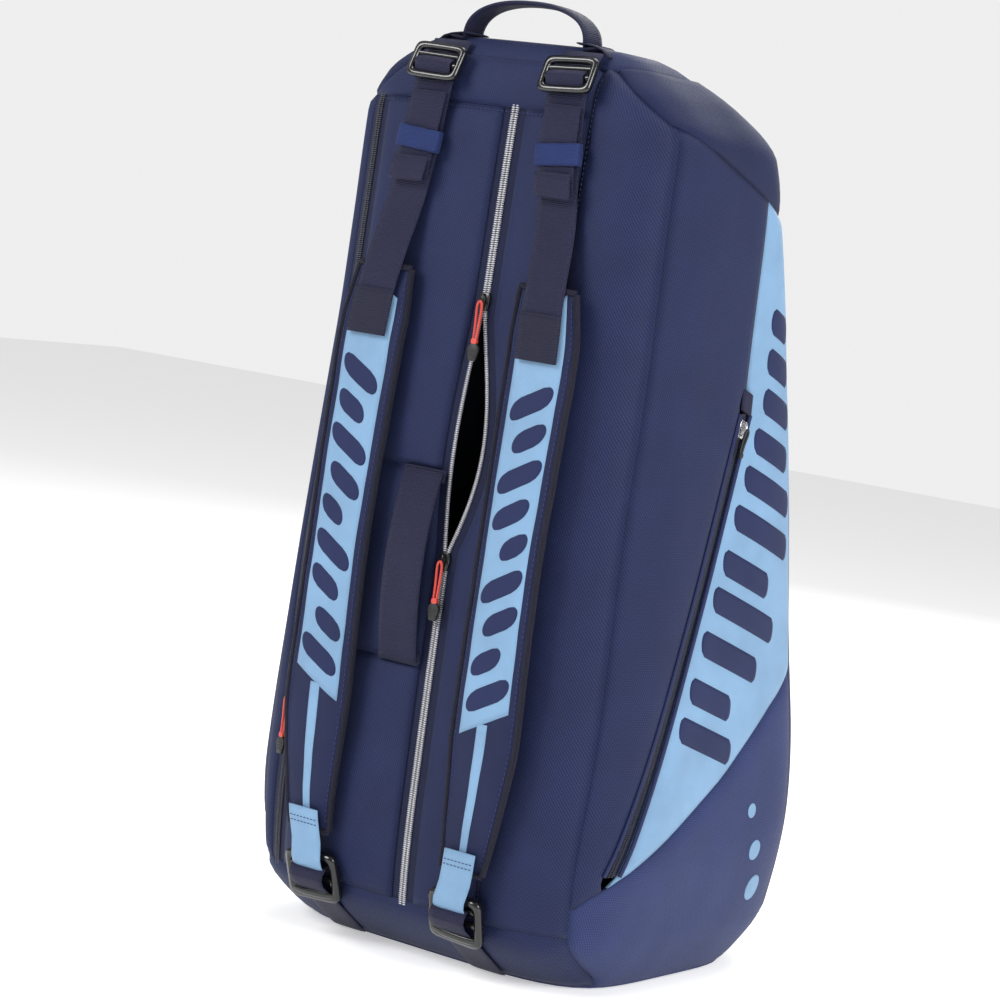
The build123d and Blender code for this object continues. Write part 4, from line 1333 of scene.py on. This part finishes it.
def build_straps(look):
    for sign, word in ((1, "right"), (-1, "left")):
        build_pad(sign, word, look)
        build_webbing(sign, word, look)
        build_buckles(sign, word, look)


# ---- handles ---------------------------------------------------------------------------------
def build_handles(look):
    web = FINISHES["webbing"]
    low, high = GRAB_SEAMS_Z
    path = []
    for i in range(48):
        z = low + 1 + (high - low - 2) * i / 47
        gap = 2.6 + (GRAB_GAP + 1) * math.sin(math.pi * (z - low) / (high - low)) ** 0.8
        path.append(place(GRAB_X, back_y(z, GRAB_X) - gap, z))
    grab = band("grab_handle_webbing", path, [Vector((1, 0, 0))] * 48, GRAB_WIDTH, 3.0, web)
    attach(grab, "grab_handle")
    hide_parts("grab_handle")
    patches = []
    for z in (low + 3.5, high - 3.5):
        rows = [place(GRAB_X, back_y(z, GRAB_X) - 2.2, z + d) for d in (-5, -2, 2, 5)]
        patches.append(band("patch", rows, [Vector((1, 0, 0))] * 4, GRAB_WIDTH + 3, 1.6, web))
    anchors = joined("grab_handle_patches", patches)
    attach(anchors, "bag")
    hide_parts("grab_handle_anchors")
    rise = HANDLE_TOP - HANDLE_BASE
    path, widths = [], []
    for i in range(41):
        turn = math.radians(-90 + 180 * i / 40)
        x = (HANDLE_SPAN + 1) * math.copysign(abs(math.sin(turn)) ** 0.9, math.sin(turn))
        z = HANDLE_BASE - 1 + (rise - 1.5) * abs(math.cos(turn)) ** 0.75
        path.append(place(x, HANDLE_Y, z))
        widths.append(25 - 5 * max(0, 1 - abs(x) / 34))
    left_end, right_end = (place(side * (HANDLE_SPAN + 14), HANDLE_Y, TOP_Z + 3) for side in (-1, 1))
    path = [left_end] + path + [right_end]
    widths = [25] + widths + [25]
    handle = band("top_handle_loop", path, [Vector((0, 1, 0))] * len(path), 25, 4.0, web, widths=widths)
    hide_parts("top_handle")
    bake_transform(handle)
    ends = []
    for side in (-1, 1):
        run = [place(side * (HANDLE_SPAN + d), HANDLE_Y, TOP_Z + h)
               for d, h in ((-5, 5.2), (4, 5.0), (12, 3.8), (19, 1.6), (26, -4))]
        ends.append(band("end", run, [Vector((0, 1, 0))] * 5, 27, 2.0, web))
    patches = joined("top_handle_patches", ends)
    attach(patches, "bag")
    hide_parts("top_handle_anchors")


# ---- inside and seams ------------------------------------------------------------------------
def build_inside(look):
    cloth_panel("thermal_lining_sheet", lambda y, z: (-side_x(z, y) + 8, y, z), lambda z: corner_y(z) + 14,
                lambda z: front_seam_y(z) - 14, level(60), level(590), FINISHES["thermal_foil"],
                "thermal_lining", 1.5, 1.2, step=9, thick=1.0)


def build_seam_stitches(look):
    """Topstitching beside the back's strap seam and yoke seam."""
    proud = Vector((0, -0.0008, 0))
    rows = [[place(*on_back(STRAP_SEAM_X + 3.2, z)) + proud for z in np.linspace(60, 700, 110)],
            [place(*on_back(x, YOKE_SEAM_Z - 3)) + proud for x in np.linspace(-118, 78, 30)]]
    piece = bead_rows("back_topstitch", rows, 4.0, (0.6, 2.6, 0.6), (0, -1, 0), FINISHES["thread"])
    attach(piece, "bag")


# ---- stage -----------------------------------------------------------------------------------
def build_stage(look):
    world = bpy.data.worlds.new("studio")
    bpy.context.scene.world = world
    world.use_nodes = True
    tree = world.node_tree
    path = tree.nodes.new("ShaderNodeLightPath")
    strength = math_node(tree, "ADD", math_node(tree, "MULTIPLY", path.outputs["Is Camera Ray"], 0.5), 0.36)
    tree.nodes["Background"].inputs["Color"].default_value = (1, 1, 1, 1)
    tree.links.new(strength, tree.nodes["Background"].inputs["Strength"])
    bpy.context.scene.view_settings.view_transform = "Standard"
    floor_mat, _, shader = material("studio_floor", (0.86, 0.86, 0.86), 0.9)
    shader.inputs["Emission Color"].default_value = (1, 1, 1, 1)
    shader.inputs["Emission Strength"].default_value = 0.42
    reach = 6
    corners = [(-reach, -reach, 0), (reach, -reach, 0), (reach, reach, 0), (-reach, reach, 0)]
    floor = new_piece("studio_floor", corners, [(0, 1, 2, 3)], floor_mat, smooth=False)
    lights = [("key", (-1.2, -2.2, 1.9), 1.3, 62), ("side", (2.4, -0.6, 1.5), 1.2, 52),
              ("top", (0.2, 0.5, 2.6), 1.6, 34), ("back", (-0.8, 2.4, 1.6), 1.6, 30)]
    for name, spot, size, power in lights:
        data = bpy.data.lights.new(name, "AREA")
        data.size = size
        data.energy = power
        lamp = bpy.data.objects.new(name, data)
        bpy.context.scene.collection.objects.link(lamp)
        lamp.location = spot
        aim = Vector((0, 0, 0.37)) - Vector(spot)
        lamp.rotation_euler = aim.to_track_quat("-Z", "Y").to_euler()
    aim_camera(azimuth=33.74, height=4.7, roll=8.17, lens=106.157, distance=2.416,
               shift=(-0.0548, -0.0036))


def aim_camera(azimuth, height, roll, lens, distance, shift):
    """Camera round the bag's middle; angles in degrees, lens in mm and distance in metres."""
    turn, lift, lean = (math.radians(v) for v in (azimuth, height, roll))
    back = Vector((math.sin(turn) * math.cos(lift), -math.cos(turn) * math.cos(lift), math.sin(lift)))
    right = Vector((math.cos(turn), math.sin(turn), 0))
    up = back.cross(right)
    spot = Vector((0, -CENTER_Y, 370)) * 0.001 + back * distance
    across = right * math.cos(lean) + up * math.sin(lean)
    upward = -right * math.sin(lean) + up * math.cos(lean)
    data = bpy.data.cameras.new("camera")
    data.sensor_width = 36
    data.lens = lens
    data.shift_x, data.shift_y = shift
    camera = bpy.data.objects.new("camera", data)
    bpy.context.scene.collection.objects.link(camera)
    turned = Matrix((across, upward, back)).transposed().to_4x4()
    camera.matrix_world = Matrix.Translation(spot) @ turned
    bpy.context.scene.camera = camera


# ---- add-on ----------------------------------------------------------------------------------
class BagLook(bpy.types.PropertyGroup):
    puff: bpy.props.FloatProperty(name="Puff", description="Height that padded panels stand proud, in mm",
                                  default=2.2, min=0, max=6)
    wrinkle: bpy.props.FloatProperty(name="Wrinkle", description="Depth of soft creases, in mm", default=1.5,
                                     min=0, max=4)
    navy: bpy.props.FloatVectorProperty(name="Navy", description="Body cloth", subtype="COLOR",
                                        default=(0.0068, 0.0115, 0.05), min=0, max=1)
    dot_color: bpy.props.FloatVectorProperty(name="Dots", description="Woven dots", subtype="COLOR",
                                             default=(0.055, 0.085, 0.20), min=0, max=1)
    base_blue: bpy.props.FloatVectorProperty(name="Base", description="Lower side cloth", subtype="COLOR",
                                             default=(0.017, 0.026, 0.095), min=0, max=1)
    light_blue: bpy.props.FloatVectorProperty(name="Light blue", description="Graphic panels",
                                              subtype="COLOR", default=(0.18, 0.31, 0.475), min=0, max=1)
    webbing: bpy.props.FloatVectorProperty(name="Webbing", description="Straps and handles", subtype="COLOR",
                                           default=(0.0088, 0.0098, 0.037), min=0, max=1)
    pull_red: bpy.props.FloatVectorProperty(name="Pulls", description="Zip pull loops", subtype="COLOR",
                                            default=(0.52, 0.05, 0.035), min=0, max=1)


STEPS = [
    ("finishes", "Finishes", "Make the cloths, webbings, plastics and metals", make_finishes),
    ("back", "Back panels", "Sew the back panels and the kick panel", build_back),
    ("sides", "Side panels", "Sew both sides with their graphic panels", build_sides),
    ("shell", "Front, roof and base", "Sew the front, the hood, the ridge and the base",
     build_front_roof_base),
    ("prints", "Prints", "Print the bars and marks on the sides", build_prints),
    ("zips", "Back zips", "Set the two back zips with their sliders and pulls", build_back_zips),
    ("pocket_zip", "Pocket zip", "Set the side pocket's zip", build_pocket_zip),
    ("straps", "Shoulder straps", "Make the pads, webbing and buckles", build_straps),
    ("handles", "Handles", "Make the grab handle and the top handle", build_handles),
    ("inside", "Lining", "Hang the thermal lining", build_inside),
    ("stitches", "Stitches", "Run the topstitching", build_seam_stitches),
    ("stage", "Stage", "Set the floor, lights and camera", build_stage),
]


def operator_class(key, label, words, build):
    def execute(self, context):
        build(context.scene.bag_look)
        return {"FINISHED"}
    return type(f"BAG_OT_{key}", (bpy.types.Operator,),
                {"bl_idname": f"bag.{key}", "bl_label": label, "__doc__": words, "execute": execute})


OPERATORS = [operator_class(*step) for step in STEPS]


class BAG_PT_panel(bpy.types.Panel):
    """Sizes, colours and steps of the bag"""
    bl_label = "Racket bag"
    bl_idname = "BAG_PT_panel"
    bl_space_type = "VIEW_3D"
    bl_region_type = "UI"
    bl_category = "Bag"

    def draw(self, context):
        for name in BagLook.__annotations__:
            self.layout.prop(context.scene.bag_look, name)
        for step in STEPS:
            self.layout.operator(f"bag.{step[0]}")


def register():
    for cls in (BagLook, *OPERATORS, BAG_PT_panel):
        bpy.utils.register_class(cls)
    bpy.types.Scene.bag_look = bpy.props.PointerProperty(type=BagLook)


def unregister():
    del bpy.types.Scene.bag_look
    for cls in (BAG_PT_panel, *reversed(OPERATORS), BagLook):
        bpy.utils.unregister_class(cls)


def main():
    register()
    for step in STEPS:
        getattr(bpy.ops.bag, step[0])()


if __name__ == "__main__":
    main()
